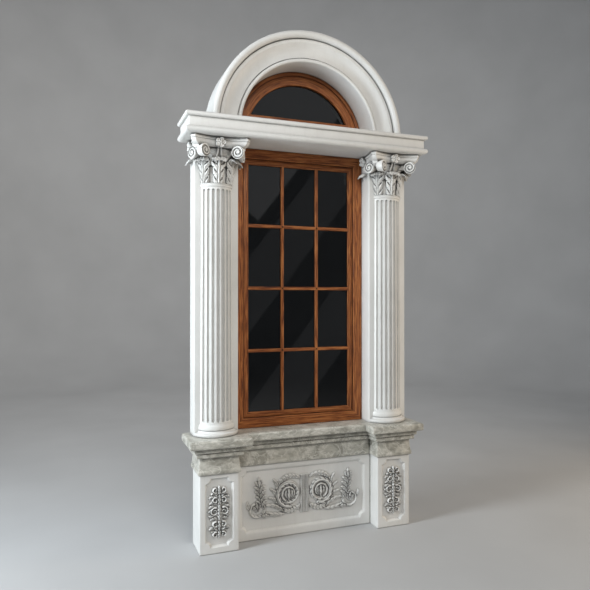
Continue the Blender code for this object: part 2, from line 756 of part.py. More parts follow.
def stalk_shell(bearing):
    """A stalk that rises between two leaves and leans out to the volutes."""
    head = CAPITAL_HEIGHT - ABACUS_HEIGHT + ARM_LAP / 3
    loops = []
    for i in range(3):
        share = i / 2
        radius = LEAF_FOOT_RADIUS + STALK_RIDGE + STALK_LEAN * share ** 3
        half = STALK_HALF_WIDTH * (0.8 + 0.5 * share) / radius
        height = head * (0.30 + 0.70 * share)
        loops.append(
            [
                on_bell(radius, height, bearing, -half),
                on_bell(radius + STALK_RIDGE, height, bearing, 0),
                on_bell(radius, height, bearing, half),
                on_bell(radius - STALK_DEPTH, height, bearing, 0),
            ]
        )
    return loft(loops)


def turned_shell(profile, steps, matrix, petals=0):
    """A shape turned about its own axis, with petals as a rise and fall of its radius."""
    loops = []
    for radius, z in profile:
        loop = []
        for i in range(steps):
            angle = 2 * math.pi * i / steps
            reach = radius * (1 + 0.12 * math.cos(petals * angle)) if petals else radius
            loop.append((reach * math.cos(angle), reach * math.sin(angle), z))
        loops.append(loop)
    return moved(loft(loops), matrix)


def facing(x, y, z, bearing):
    """A frame whose own Z looks out level from the capital; bearing 0 is the front."""
    return Matrix.Translation((x, y, z)) @ Matrix.Rotation(math.radians(bearing), 4, "Z") @ Matrix.Rotation(
        math.pi / 2, 4, "X"
    )


def volute_shells():
    """Two coiled discs at each front corner, one towards the front and one towards the side."""
    rim = VOLUTE_RIM
    profile = [
        (VOLUTE_RADIUS * 0.8, -VOLUTE_ROOT),
        (VOLUTE_RADIUS, rim),
        (VOLUTE_RADIUS * 0.78, rim),
        (VOLUTE_RADIUS * 0.50, rim - VOLUTE_SINK),
    ]
    shells = []
    for hand in (1, -1):
        for x, y, bearing in (VOLUTE_FRONT, VOLUTE_SIDE):
            place = facing(hand * x, y, CAPITAL_HEIGHT - VOLUTE_DROP, hand * bearing)
            shells.append(turned_shell(profile, VOLUTE_STEPS, place))
    return shells


def corner_shells():
    """The arm behind each pair of volutes, from the bell out to the abacus's horn."""
    lip = CAPITAL_HEIGHT - ABACUS_HEIGHT
    bearing = math.degrees(math.atan2(ABACUS_HALF_WIDTH, ABACUS_FRONT))
    shells = []
    for hand in (1, -1):
        loops = []
        for radius, drop, half in zip(ARM_RADII, ARM_DROPS, ARM_HALF_WIDTHS):
            spread = half / radius
            low = [on_bell(radius, lip - drop, hand * bearing, spread * way) for way in (-1, 1)]
            high = [on_bell(radius, lip + ARM_LAP, hand * bearing, spread * way) for way in (1, -1)]
            loops.append(low + high)
        shells.append(loft(loops))
    return shells


def rosette_shells():
    """A five-petalled flower on the abacus, at the middle of the front and of each side."""
    profile = [
        (ROSETTE_RADIUS * 0.8, -ROSETTE_ROOT),
        (ROSETTE_RADIUS, 0.3 * ROSETTE_RISE),
        (ROSETTE_RADIUS * 0.45, ROSETTE_RISE),
    ]
    front = ABACUS_FRONT - ABACUS_HOLLOW
    side = ABACUS_HALF_WIDTH - ABACUS_HOLLOW
    height = CAPITAL_HEIGHT - ROSETTE_DROP
    places = [facing(0, -front, height, 0)]
    places += [facing(hand * side, 0, height, hand * 90) for hand in (1, -1)]
    return [turned_shell(profile, 2 * ROSETTE_PETALS, place, ROSETTE_PETALS) for place in places]


# Lintel and arch


def entablature(material):
    """The lintel: soffit, roll, recessed fascia and rounded top fillet, returned at both ends."""
    half = HALF_SPAN + ENTABLATURE_OVERHANG
    roll = ENTABLATURE_HEIGHT - LINTEL_FILLET_HEIGHT - LINTEL_FASCIA_HEIGHT
    profile = [(0, LINTEL_ROLL_IN)]
    crown = 1 + math.sin(math.radians(60))
    for x, z in arc((0, 0), 1, -90, 60, 5):
        profile.append((LINTEL_BED + (z + 1) / crown * (roll - LINTEL_BED), LINTEL_ROLL_IN * (1 - x)))
    profile.append((roll + JOINT, LINTEL_FASCIA_IN))
    profile.append((ENTABLATURE_HEIGHT - LINTEL_FILLET_HEIGHT, LINTEL_FASCIA_IN))
    nose = rounded_step(
        ENTABLATURE_HEIGHT - LINTEL_FILLET_HEIGHT, LINTEL_FILLET_HEIGHT, 0, LINTEL_ROUND
    )
    profile += [(z, -out) for z, out in nose]
    loops = [rectangle(inset - half, half - inset, inset - ENTABLATURE_DEPTH, 0, z) for z, inset in profile]
    return make_object("entablature", [loft(loops)], material, (0, STONE_BACK, SOFFIT))


def arched_loop(radius, foot, y, segments):
    """Half a circle about the arch's centre, cut off level at a height above the lintel's top."""
    start = math.degrees(math.asin((ARCH_CENTRE_DROP + foot) / radius))
    half_round = arc((0, -ARCH_CENTRE_DROP), radius, start, 180 - start, segments)
    return [(x, y, z) for x, z in half_round]


def archivolt(material):
    """The arch: outer roll, groove, small step, broad cove and inner bead."""
    inner = OPENING_HALF
    outer = inner + ARCH_BAND
    roll = ARCH_ROLL / 2
    section = [(outer, 0)]
    for x, depth in arc((0, 0), 1, 0, 180, 4):
        section.append((outer - roll + roll * x, ARCH_DEPTH - roll + roll * depth))
    groove = outer - ARCH_ROLL
    section += [(groove, ARCH_GROOVE_DEPTH), (groove - ARCH_GROOVE_WIDTH, ARCH_GROOVE_DEPTH)]
    step = groove - ARCH_STEP
    section += [(groove - ARCH_GROOVE_WIDTH - ARCH_CHAMFER, ARCH_STEP_DEPTH), (step, ARCH_STEP_DEPTH)]
    bead = inner + ARCH_INNER_GROOVE
    edge = bead - ARCH_INNER_GROOVE_WIDTH
    for share in (0.3, 0.65, 1):
        section.append((step + (bead - step) * share, cove_depth(share)))
    section += [(bead, ARCH_INNER_GROOVE_DEPTH), (edge, ARCH_INNER_GROOVE_DEPTH)]
    middle = (edge + inner) / 2
    wide = (edge - inner) / 2
    for x, depth in arc((0, 0), 1, 0, 180, 3):
        section.append((middle + wide * x, ARCH_BEAD_DEPTH - wide + wide * depth))
    section.append((inner, 0))
    loops = []
    for i in range(ARCH_SEGMENTS + 1):
        loop = []
        for radius, depth in section:
            start = math.asin((ARCH_CENTRE_DROP + JOINT) / radius)
            angle = start + (math.pi - 2 * start) * i / ARCH_SEGMENTS
            loop.append((radius * math.cos(angle), -depth, radius * math.sin(angle) - ARCH_CENTRE_DROP))
        loops.append(loop)
    return make_object("archivolt", [loft(loops)], material, (0, STONE_BACK, LINTEL_TOP))


def cove_depth(share):
    """Depth of the arch's broad hollow, from the step at 0 to the inner groove at 1."""
    drop = ARCH_STEP_DEPTH - ARCH_COVE_DEPTH
    return ARCH_COVE_DEPTH + drop * (1 - share) ** 3 + ARCH_COVE_LIP * share ** 3


# Timber and glass


def framed_loop(half_width, foot, head, y):
    return [(-half_width, y, foot), (half_width, y, foot), (half_width, y, head), (-half_width, y, head)]


def framed_shell(half_width, foot, head, section):
    """A mitred frame: the section gives, round its outline, the distance in from the outside and the y."""
    loops = [framed_loop(half_width - inset, foot + inset, head - inset, y) for inset, y in section]
    return loft(loops, ring=True)


def window_frame(material):
    section = [
        (0, -TIMBER_FRONT),
        (FRAME_WIDTH - FRAME_MOULDING, -TIMBER_FRONT),
        (FRAME_WIDTH - FRAME_MOULDING * 0.3, -TIMBER_FRONT + FRAME_MOULDING * 0.35),
        (FRAME_WIDTH, -TIMBER_FRONT + FRAME_MOULDING),
        (FRAME_WIDTH, TIMBER_BEHIND),
        (0, TIMBER_BEHIND),
    ]
    shell = framed_shell(OPENING_HALF - JOINT, SILL_TOP + JOINT, SOFFIT - JOINT, section)
    return make_object("window_frame", [shell], material, (0, STONE_BACK, 0))


def sash_size():
    """Half the width, the foot and the head of the sash."""
    inset = FRAME_WIDTH + 2 * JOINT
    return OPENING_HALF - inset, SILL_TOP + inset, SOFFIT - inset


def window_sash(material):
    """The sash is a board from which the lights and the seat of the glass are cut."""
    half, foot, head = sash_size()
    front = -TIMBER_FRONT + SASH_SET_BACK
    back = front + SASH_DEPTH
    board = make_object(
        "window_sash", [box_shell((-half, front, foot), (half, back, head))], material, (0, STONE_BACK, 0)
    )
    seat = front + BAR_DEPTH
    lights = [light_shell(column, row, front, seat) for column in range(LIGHTS_ACROSS) for row in range(LIGHTS_HIGH)]
    cut(board, "window_sash.lights", lights, material)
    inset = SASH_WIDTH - GLASS_HOLD
    rebate = box_shell((inset - half, seat, foot + inset), (half - inset, back + BAR_DEPTH, head - inset))
    cut(board, "window_sash.rebate", [rebate], material)
    return board


def light_shell(column, row, front, seat):
    """One light as a cutter, wider at the front where the bars are moulded."""
    half, foot, head = sash_size()
    wide = (2 * (half - SASH_WIDTH) - (LIGHTS_ACROSS - 1) * BAR_WIDTH) / LIGHTS_ACROSS
    tall = (head - foot - 2 * SASH_WIDTH - (LIGHTS_HIGH - 1) * BAR_WIDTH) / LIGHTS_HIGH
    left = -half + SASH_WIDTH + column * (wide + BAR_WIDTH)
    low = foot + SASH_WIDTH + row * (tall + BAR_WIDTH)
    spare = SASH_MOULDING / 2
    loops = []
    for grow, y in ((SASH_MOULDING + spare, front - spare), (0, front + SASH_MOULDING), (0, seat + spare)):
        loops.append(
            [
                (left - grow, y, low - grow),
                (left + wide + grow, y, low - grow),
                (left + wide + grow, y, low + tall + grow),
                (left - grow, y, low + tall + grow),
            ]
        )
    return loft(loops)


def window_glass(material):
    half, foot, head = sash_size()
    inset = SASH_WIDTH - GLASS_HOLD + JOINT
    seat = -TIMBER_FRONT + SASH_SET_BACK + BAR_DEPTH + JOINT
    low = (inset - half, seat, foot + inset)
    high = (half - inset, seat + GLASS_THICKNESS, head - inset)
    return make_object("window_glass", [box_shell(low, high)], material, (0, STONE_BACK, 0))


def glass_seat():
    """The y of the face against which the fanlight's glass lies."""
    return -TIMBER_FRONT + SASH_SET_BACK + BAR_DEPTH


def fanlight_frame(material):
    """The half-round frame with its bottom rail, stepped on its face and rebated behind for the glass."""
    outer = OPENING_HALF - JOINT
    opening = outer - FANLIGHT_RING
    hold = opening + GLASS_HOLD
    section = [
        (outer, JOINT, -TIMBER_FRONT),
        (outer - FANLIGHT_STEP, FANLIGHT_STEP, -TIMBER_FRONT),
        (outer - FANLIGHT_STEP - QUIRK, FANLIGHT_STEP + QUIRK, -TIMBER_FRONT + FANLIGHT_STEP_BACK),
        (opening + SASH_MOULDING, FANLIGHT_RAIL - SASH_MOULDING, -TIMBER_FRONT + FANLIGHT_STEP_BACK),
        (opening, FANLIGHT_RAIL, -TIMBER_FRONT + FANLIGHT_STEP_BACK + SASH_MOULDING),
        (opening, FANLIGHT_RAIL, glass_seat()),
        (hold, FANLIGHT_RAIL - GLASS_HOLD, glass_seat()),
        (hold, FANLIGHT_RAIL - GLASS_HOLD, TIMBER_BEHIND),
        (outer, JOINT, TIMBER_BEHIND),
    ]
    loops = [arched_loop(radius, foot, y, ARCH_SEGMENTS) for radius, foot, y in section]
    return make_object("fanlight_frame", [loft(loops, ring=True)], material, (0, STONE_BACK, LINTEL_TOP))


def fanlight_glass(material):
    radius = OPENING_HALF - 2 * JOINT - FANLIGHT_RING + GLASS_HOLD
    foot = FANLIGHT_RAIL - GLASS_HOLD + JOINT
    near = glass_seat() + JOINT
    loops = [arched_loop(radius, foot, y, ARCH_SEGMENTS) for y in (near, near + GLASS_THICKNESS)]
    return make_object("fanlight_glass", [loft(loops)], material, (0, STONE_BACK, LINTEL_TOP))


def build():
    clear_scene()
    stone = make_material("Painted stone", (0.78, 0.77, 0.74), 0.45)
    marble = make_material("Marble", (0.42, 0.41, 0.36), 0.35)
    timber = make_material("Timber", (0.17, 0.055, 0.020), 0.45)
    glass = make_material("Glass", (0.05, 0.055, 0.06), 0.05, 0.35)
    pedestal_margins = (PEDESTAL_PANEL_SIDE, PEDESTAL_PANEL_FOOT, PEDESTAL_PANEL_HEAD)
    upright = (arabesque(), (0.40, 1.0), (PEDESTAL_CARVING_SIDE, PEDESTAL_CARVING_END), 0)
    apron_margins = (APRON_PANEL_SIDE, APRON_PANEL_FOOT, APRON_PANEL_HEAD)
    long = (scrollwork(), (3.086, 1.0), (APRON_CARVING_SIDE, APRON_CARVING_END), APRON_CARVING_LIFT)
    for side, word in ((-1, "left"), (1, "right")):
        panelled_block(
            "pedestal_" + word,
            PEDESTAL_WIDTH,
            PEDESTAL_DEPTH,
            PEDESTAL_HEIGHT,
            pedestal_margins,
            upright,
            stone,
            side * HALF_SPAN,
        )
        pedestal_cap(side, marble)
        pilaster(side, stone)
        column_base(side, stone)
        column_shaft(side, stone)
        capital(side, stone)
    apron_width = AXIS_SPAN - PEDESTAL_WIDTH - 2 * JOINT
    panelled_block(
        "apron_panel", apron_width, APRON_DEPTH, PEDESTAL_HEIGHT, apron_margins, long, stone, 0
    )
    window_sill(marble)
    entablature(stone)
    archivolt(stone)
    window_frame(timber)
    window_sash(timber)
    window_glass(glass)
    fanlight_frame(timber)
    fanlight_glass(glass)


build()
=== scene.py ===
"""The looks of the window surround: fine carving, mouldings, painted stone, marble, timber and glass.

Metres, +Z up. The front faces -Y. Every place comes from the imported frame.
"""

import math

import bmesh
import bpy
import numpy as np
from mathutils import Matrix, Vector


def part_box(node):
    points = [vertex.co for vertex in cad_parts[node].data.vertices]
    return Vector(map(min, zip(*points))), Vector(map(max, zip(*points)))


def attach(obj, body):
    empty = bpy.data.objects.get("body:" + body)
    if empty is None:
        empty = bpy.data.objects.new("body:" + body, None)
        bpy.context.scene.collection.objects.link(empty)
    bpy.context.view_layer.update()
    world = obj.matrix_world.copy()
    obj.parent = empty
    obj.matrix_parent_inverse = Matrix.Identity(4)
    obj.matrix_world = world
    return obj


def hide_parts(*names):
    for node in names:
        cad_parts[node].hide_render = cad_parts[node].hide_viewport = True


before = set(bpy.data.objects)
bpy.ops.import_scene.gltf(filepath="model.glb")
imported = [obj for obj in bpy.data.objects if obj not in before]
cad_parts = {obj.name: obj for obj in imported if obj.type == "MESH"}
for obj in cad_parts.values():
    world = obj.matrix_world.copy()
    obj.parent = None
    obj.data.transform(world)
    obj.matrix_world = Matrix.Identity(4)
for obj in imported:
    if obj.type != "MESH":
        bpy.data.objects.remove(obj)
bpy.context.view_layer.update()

# The photograph's camera: place, turn to the right, tilt upwards and focal length in millimetres
CAMERA_PLACE = (-1.9885, -4.936, 2.1015)
CAMERA_YAW = 0.3629
CAMERA_PITCH = 0.0057
CAMERA_LENS = 36.43

# Faces that meet at less than this angle, in degrees, are shaded as one
SMOOTH_ANGLE = 38

# Joint left open between neighbouring pieces
JOINT = 0.0003

SIDES = {"left": -1, "right": 1}

# Plan and heights, as built
STONE_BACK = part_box("pilaster_left")[1].y
HALF_SPAN = (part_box("pilaster_right")[0].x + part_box("pilaster_right")[1].x) / 2
SILL_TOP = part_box("window_sill")[1].z
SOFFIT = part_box("capital_left")[1].z
LINTEL_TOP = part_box("entablature")[1].z
CAPITAL_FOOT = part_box("pilaster_left")[1].z
PEDESTAL_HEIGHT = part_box("pedestal_left")[1].z
PILASTER_DEPTH = 0.17
PILASTER_WIDTH = 0.38
PIER_CORNER = 0.009
PIER_EASE = 0.002
COLUMN_AXIS_DEPTH = 0.085

# Sunk panels and the carving on them: margins at the side, foot and head; clear space across and up
PEDESTAL_PANEL = (0.0435, 0.05, 0.032)
APRON_PANEL = (0.058, 0.068, 0.045)
PANEL_NOTCH = 0.044
PANEL_BEVEL = 0.022
PANEL_RECESS = 0.02
PEDESTAL_CARVING = (0.0355, 0.0735)
APRON_CARVING = (0.056, 0.097)
PEDESTAL_CARVING_SIZE = (0.4, 1.0)
APRON_CARVING_SIZE = (3.086, 1.0)
PEDESTAL_CELL = 0.0019
APRON_CELL = 0.0027
CARVING_RISE = 0.027
CARVING_EDGE = 0.005
CARVING_GAP = 0.004
APRON_CARVING_LIFT = 0.016
ARRIS = 0.004
COARSE_CELL = 0.016

# Marble moulding, from its foot upwards
BEAD_HEIGHT = 0.037
BEAD_OUT = 0.018
FRIEZE_HEIGHT = 0.106
FRIEZE_FOOT_OUT = 0.012
FRIEZE_HOLLOW_OUT = 0.003
LOWER_FILLET = (0.042, 0.036)
UPPER_FILLET = (0.041, 0.053)
SLAB_OUT = 0.098
SLAB_ROUND = 0.017
FILLET_ROUND = 0.011
MARBLE_CORNER = 0.005

# Column base and shaft
PLINTH_RADIUS = 0.205
PLINTH_HEIGHT = 0.048
PLINTH_FACE = 0.03
PLINTH_SHOULDER_RADIUS = 0.176
TORUS_RADIUS = 0.1735
TORUS_HEIGHT = 0.048
BASE_FILLET_RADIUS = 0.1655
BASE_FILLET_HEIGHT = 0.01
SHAFT_FOOT_RADIUS = 0.1625
SHAFT_NECK_RADIUS = 0.156
FLUTES_IN_CIRCLE = 24
FLUTES_EACH_SIDE = 3
FLUTE_SHARE = 0.74
FLUTE_DEPTH = 0.016
FLUTE_CLEAR_FOOT = 0.012
FLUTE_CLEAR_HEAD = 0.016
ASTRAGAL_HEIGHT = 0.029
ASTRAGAL_OUT = 0.008

# Capital
CAPITAL_HEIGHT = 0.371
BELL_FOOT_RADIUS = 0.14
BELL_LIP_RADIUS = 0.182
BELL_SHARES = (0.0, 0.55, 0.85, 0.96, 1.05)
BELL_FLARES = (0.0, 0.15, 0.45, 1.0, 0.8)
ABACUS_HEIGHT = 0.08
ABACUS_HALF_WIDTH = 0.25
ABACUS_FRONT = 0.275
ABACUS_HORN = 0.03
ABACUS_HOLLOW = 0.046
ABACUS_UNDERCUT = 0.034
ABACUS_INNER_BACK = 0.06
ABACUS_HOLLOW_SHARE = 0.5
ABACUS_STEPS = (
    (0.51, 0.004), (0.585, 0.004), (0.59, 0.01), (0.625, 0.01), (0.63, 0.003),
    (0.72, 0.0), (0.86, 0.0), (0.93, 0.002), (0.97, 0.005), (1.0, 0.01),
)
LEAF_BEARINGS = (-90, -45, 0, 45, 90)
LEAF_FOOT_RADIUS = 0.152
LEAF_HEAD_RADIUS = 0.18
LEAF_STRAIGHT = 0.182
LEAF_CURL = 0.031
LEAF_CURL_TURN = 155
LEAF_HALF_WIDTH = 0.06
LEAF_THICKNESS = 0.022
LEAF_LOBES = 4
LEAF_DROOP = 0.016
LEAF_LEVELS = (0.0, 0.4, 0.68, 0.9, 1.0)
LEAF_WIDTHS = (0.7, 0.84, 1.12, 1.1, 0.7)
STALK_BEARINGS = (-67.5, -22.5, 22.5, 67.5)
STALK_FOOT_SHARE = 0.5
STALK_RISE_SHARE = 0.26
STALK_LEAN = 0.044
STALK_HALF_WIDTH = 0.012
STALK_THICKNESS = 0.013
STALK_RING = (0.8, 0.06, 0.2)
ARM_START = 0.14
ARM_LENGTH = 0.16
ARM_RADII = (0.14, 0.24, 0.3)
ARM_DROPS = (0.06, 0.056, 0.02)
ARM_HALF_WIDTHS = (0.03, 0.03, 0.024)
ARM_ABOVE_LIP = 0.012
CORD_FOOT = 0.19
CORD_RISE = 0.125
CORD_FRONT = 0.172
CORD_LEAN = 0.052
CORD_RADIUS = 0.0085
VOLUTE_RADIUS = 0.053
VOLUTE_RIM = 0.017
VOLUTE_ROOT = 0.05
VOLUTE_DROP = 0.129
VOLUTE_TURNS = 2.1
VOLUTE_GROOVE = 0.012
VOLUTE_FRONT = (0.138, -0.262, -35)
VOLUTE_SIDE = (0.212, -0.14, 62)
ROSETTE_RADIUS = 0.042
ROSETTE_RISE = 0.03
ROSETTE_DROP = 0.049

# Lintel
LINTEL_FILLET_HEIGHT = 0.035
LINTEL_FASCIA_HEIGHT = 0.081
LINTEL_FASCIA_IN = 0.027
LINTEL_ROLL_IN = 0.03
LINTEL_ROUND = 0.013
LINTEL_CORNER = 0.006

# Arch
ARCH_CENTRE_DROP = 0.054
ARCH_BAND = 0.2595
ARCH_DEPTH = 0.33
ARCH_ROLL = 0.06
ARCH_GROOVE_DEPTH = 0.27
ARCH_STEP = 0.039
ARCH_STEP_DEPTH = 0.286
ARCH_COVE_DEPTH = 0.246
ARCH_COVE_LIP = 0.008
ARCH_INNER_GROOVE = 0.04
ARCH_INNER_GROOVE_WIDTH = 0.008
ARCH_INNER_GROOVE_DEPTH = 0.236
ARCH_BEAD_DEPTH = 0.275
ARCH_SEGMENTS = 96

# Timber window
TIMBER_FRONT = 0.02
TIMBER_BEHIND = 0.035
FRAME_WIDTH = 0.088
FRAME_MOULDING = 0.01
SASH_WIDTH = 0.05
SASH_SET_BACK = 0.014
SASH_DEPTH = 0.036
SASH_MOULDING = 0.008
BAR_WIDTH = 0.03
BAR_DEPTH = 0.02
LIGHTS_ACROSS = 3
LIGHTS_HIGH = 4
GLASS_HOLD = 0.015
FANLIGHT_RING = 0.12
FANLIGHT_RAIL = 0.143
FANLIGHT_STEP = 0.03
FANLIGHT_STEP_BACK = 0.008

# Floor
FLOOR_RADIUS = 9.5
SWEEP_RADIUS = 4.0
WALL_HEIGHT = 12.0
FLOOR_GAP = 0.001

# Slanting cards that the glass reflects: name, place across and up, size and power
CARD_DISTANCE = -4.0
CARD_LEAN = -38
GLASS_CARDS = (
    ("High glass card", 1.6, 5.25, (1.23, 3.8), 6.3),
    ("Middle glass card", 1.6, 3.23, (0.755, 3.8), 1.4),
    ("Low glass card", 1.62, 0.82, (0.777, 3.2), 1.2),
)


# Shapes


def turns(start, end, count):
    """Equally spaced angles between two that are given in degrees, both included."""
    return np.radians(np.linspace(start, end, count))


def rising(value, start, width):
    """0 up to the start, then an even rise to 1 over the width."""
    return np.clip((value - start) / width, 0, 1)


def swell(value, middle, width):
    """A smooth hump of height 1 about the middle."""
    return np.exp(-(((value - middle) / width) ** 2))


def arc(centre, radius, start, end, steps):
    """Points of an arc between two angles in degrees, both ends included."""
    return [
        (centre[0] + radius * math.cos(a), centre[1] + radius * math.sin(a))
        for a in turns(start, end, steps + 1)
    ]


def loft(loops, caps=True):
    """A shell over equal loops of points, closed at its first and last loop unless caps is False."""
    loops = np.asarray(loops, float)
    count, size = loops.shape[:2]
    row, j = np.meshgrid(np.arange(count - 1) * size, np.arange(size), indexing="ij")
    after = (j + 1) % size
    quads = np.stack([row + j, row + after, row + size + after, row + size + j], axis=-1)
    faces = quads.reshape(-1, 4).tolist()
    if caps:
        faces.append(list(range(size)))
        faces.append(list(range((count - 1) * size, count * size)))
    return loops.reshape(-1, 3), faces


def joined(shells):
    """Several shells as one list of points and faces."""
    points = []
    faces = []
    start = 0
    for some, shapes in shells:
        points.append(np.asarray(some, float))
        faces += [[corner + start for corner in shape] for shape in shapes]
        start += len(some)
    return np.concatenate(points), faces


def moved(shell, matrix):
    points, faces = shell
    turn = np.array(matrix)
    return np.asarray(points) @ turn[:3, :3].T + turn[:3, 3], faces


def make_piece(name, shell, material, nodes, place=(0, 0, 0), grain=None):
    """One piece in place of CAD nodes, faces turned outwards; grain is its map, one place per corner."""
    points, faces = shell
    mesh = bpy.data.meshes.new(name)
    mesh.from_pydata((np.asarray(points) + np.array(place)).tolist(), [], faces)
    if grain is not None:
        layer = mesh.uv_layers.new(name="Grain")
        layer.data.foreach_set("uv", np.asarray(grain, np.float32).ravel())
    work = bmesh.new()
    work.from_mesh(mesh)
    bmesh.ops.recalc_face_normals(work, faces=work.faces)
    work.to_mesh(mesh)
    work.free()
    mesh.materials.append(material)
    mesh.shade_smooth()
    mesh.set_sharp_from_angle(angle=math.radians(SMOOTH_ANGLE))
    obj = bpy.data.objects.new(name, mesh)
    bpy.context.scene.collection.objects.link(obj)
    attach(obj, "root")
    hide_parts(*nodes)


def stone_piece(name, shell, material, node, place=(0, 0, 0)):
    make_piece(name, shell, material, [node], place)


def column_piece(name, word, shell, material, node, foot):
    """A stone piece on the axis of the column on one side, left or right."""
    place = (SIDES[word] * HALF_SPAN, STONE_BACK - COLUMN_AXIS_DEPTH, foot)
    stone_piece(name + word, shell, material, node + word, place)


def plan_loop(left, right, front, back, z, corner):
    """A rectangle in plan whose two front corners are rounded."""
    loop = [(left, back)]
    loop += arc((left + corner, front + corner), corner, 180, 270, 4)
    loop += arc((right - corner, front + corner), corner, 270, 360, 4)
    loop.append((right, back))
    return [(x, y, z) for x, y in loop]


# Paths of the carving, in shares of its height, drawn finely


def spiral(centre, start_radius, end_radius, start, turn):
    share = np.linspace(0, 1, max(int(abs(turn) / 9), 8))
    angle = np.radians(start + turn * share)
    radius = start_radius + (end_radius - start_radius) * share
    return np.stack([centre[0] + radius * np.cos(angle), centre[1] + radius * np.sin(angle)], axis=1)


def bow(start, end, bulge):
    share = np.linspace(0, 1, 17)
    lift = 4 * bulge * share * (1 - share)
    x = start[0] + (end[0] - start[0]) * share - (end[1] - start[1]) * lift
    z = start[1] + (end[1] - start[1]) * share + (end[0] - start[0]) * lift
    return np.stack([x, z], axis=1)


def stem(path, width, taper=0.35, rise=1.0, lobes=0):
    """A strand that thins towards its end; with lobes it is leafy on its outer side."""
    return path, width * np.linspace(1, taper, len(path)) / 2, rise, lobes, "stem"


def leaf(start, end, bulge, width, rise=0.9, lobes=3):
    """A bowed strand that swells and then comes to a point, with lobed edges."""
    path = bow(start, end, bulge)
    share = np.linspace(0, 1, len(path))
    return path, width * (0.25 + 0.75 * np.sin(math.pi * (0.12 + 0.83 * share))) / 2, rise, lobes, "leaf"


def fluted(path, width, rise=0.7):
    """A straight band with shallow flutes along it."""
    return path, width * np.linspace(1, 0.92, len(path)) / 2, rise, 0, "band"


def mirrored(strands):
    pairs = []
    for path, widths, rise, lobes, kind in strands:
        pairs.append((path * np.array([-1, 1]), widths, rise, lobes, kind))
        pairs.append((path, widths, rise, lobes, kind))
    return pairs


def arabesque():
    """The upright carving of the pedestals: a middle stem with leaves, and coils and leaves on each side."""
    half = [
        leaf((0.03, 0.33), (0.16, 0.35), 0.25, 0.06),
        stem(bow((0.004, 0.3), (0.07, 0.385), -0.25), 0.036),
        stem(spiral((0.08, 0.435), 0.055, 0.012, 250, 430), 0.036),
        leaf((0.12, 0.3), (0.2, 0.27), 0.2, 0.05),
        leaf((0.06, 0.16), (0.19, 0.17), 0.25, 0.06),
        stem(spiral((0.082, 0.235), 0.062, 0.012, 120, -430), 0.038),
        leaf((0.11, 0.1), (0.205, 0.09), 0.2, 0.058),
        leaf((0.12, 0.01), (0.212, 0.02), 0.2, 0.06),
        leaf((0.115, -0.06), (0.205, -0.055), -0.15, 0.058),
        leaf((0.07, -0.11), (0.17, -0.14), 0.15, 0.06),
        stem(spiral((0.098, 0.02), 0.08, 0.014, 115, -540), 0.04),
        leaf((0.11, -0.3), (0.2, -0.33), 0.2, 0.056),
        stem(bow((0.004, -0.355), (0.11, -0.17), -0.26), 0.04),
        stem(spiral((0.078, -0.235), 0.06, 0.012, 100, -430), 0.036),
        leaf((0.04, -0.35), (0.16, -0.365), -0.2, 0.056),
        stem(spiral((0.08, -0.43), 0.056, 0.012, 110, -430), 0.036),
    ]
    middle = [
        stem(bow((0, -0.48), (0, 0.48), 0), 0.018, 1.0, 0.5),
        leaf((0, 0.33), (0, 0.5), 0, 0.075, 1.0),
        leaf((0, 0.12), (0, 0.34), 0, 0.085, 1.0),
        leaf((0, -0.34), (0, -0.5), 0, 0.08, 1.0),
        leaf((0, -0.14), (0, -0.35), 0, 0.07, 1.0),
        leaf((0, -0.13), (0, 0.14), 0, 0.095, 1.1, 4),
    ]
    return mirrored(half) + middle


def scrollwork():
    """The long carving of the apron: a fluted stem, and on each side a leafy spiral, a scroll and a sprig."""
    coil = (0.443, 0.04)
    half = [
        leaf((0.15, 0.42), (0.74, 0.28), 0.2, 0.12, lobes=7),
        leaf((0.13, -0.3), (0.72, -0.26), -0.2, 0.15, lobes=7),
        leaf((0.74, -0.06), (0.84, 0.42), 0.12, 0.105, lobes=5),
        leaf((0.7, -0.2), (0.93, 0.2), 0.14, 0.105, lobes=4),
        leaf((0.64, -0.3), (0.97, -0.02), 0.14, 0.105, lobes=4),
        leaf((0.6, -0.38), (1.04, -0.2), 0.1, 0.1, lobes=4),
        leaf((0.56, -0.45), (1.1, -0.37), -0.08, 0.095, lobes=4),
        stem(bow((1.1, -0.36), (1.24, 0.4), 0.06), 0.05),
    ]
    for z in (-0.16, -0.04, 0.08, 0.2):
        x = 1.14 + 0.14 * (z + 0.33)
        for way in (1, -1):
            half.append(leaf((x, z - 0.05), (x + 0.135 * way, z + 0.09), 0.18 * way, 0.095))
    for reach, top in ((-0.085, 0.43), (0.085, 0.42), (0.0, 0.51)):
        half.append(leaf((1.235, 0.29), (1.245 + reach, top), 0.05, 0.08, lobes=2))
    for reach, top in ((1.2, -0.16), (1.31, -0.1), (1.42, -0.18)):
        half.append(leaf((1.3, -0.33), (reach, top), 0.05, 0.085))
    half += [
        leaf((1.45, -0.26), (1.53, -0.07), -0.2, 0.085, lobes=2),
        stem(spiral((1.3, -0.27), 0.215, 0.15, 180, 250), 0.075, 0.6, 0.9, 7),
        leaf((1.00, -0.45), (1.16, -0.44), 0.0, 0.12, 1.1, 2),
        stem(spiral(coil, 0.32, 0.215, 262, 395), 0.12, 0.85, 1.0, 15),
        stem(spiral(coil, 0.19, 0.13, 297, 320), 0.07, 0.7, 0.95, 8),
        leaf((0.4, -0.07), (0.36, 0.13), 0.1, 0.075, 1.0, 2),
        leaf((0.48, -0.07), (0.52, 0.13), -0.1, 0.075, 1.0, 2),
        leaf((0.443, -0.1), (0.443, 0.16), 0.0, 0.09, 1.15, 2),
    ]
    return mirrored(half) + [fluted(bow((0, -0.48), (0, 0.49), 0.0), 0.25)]


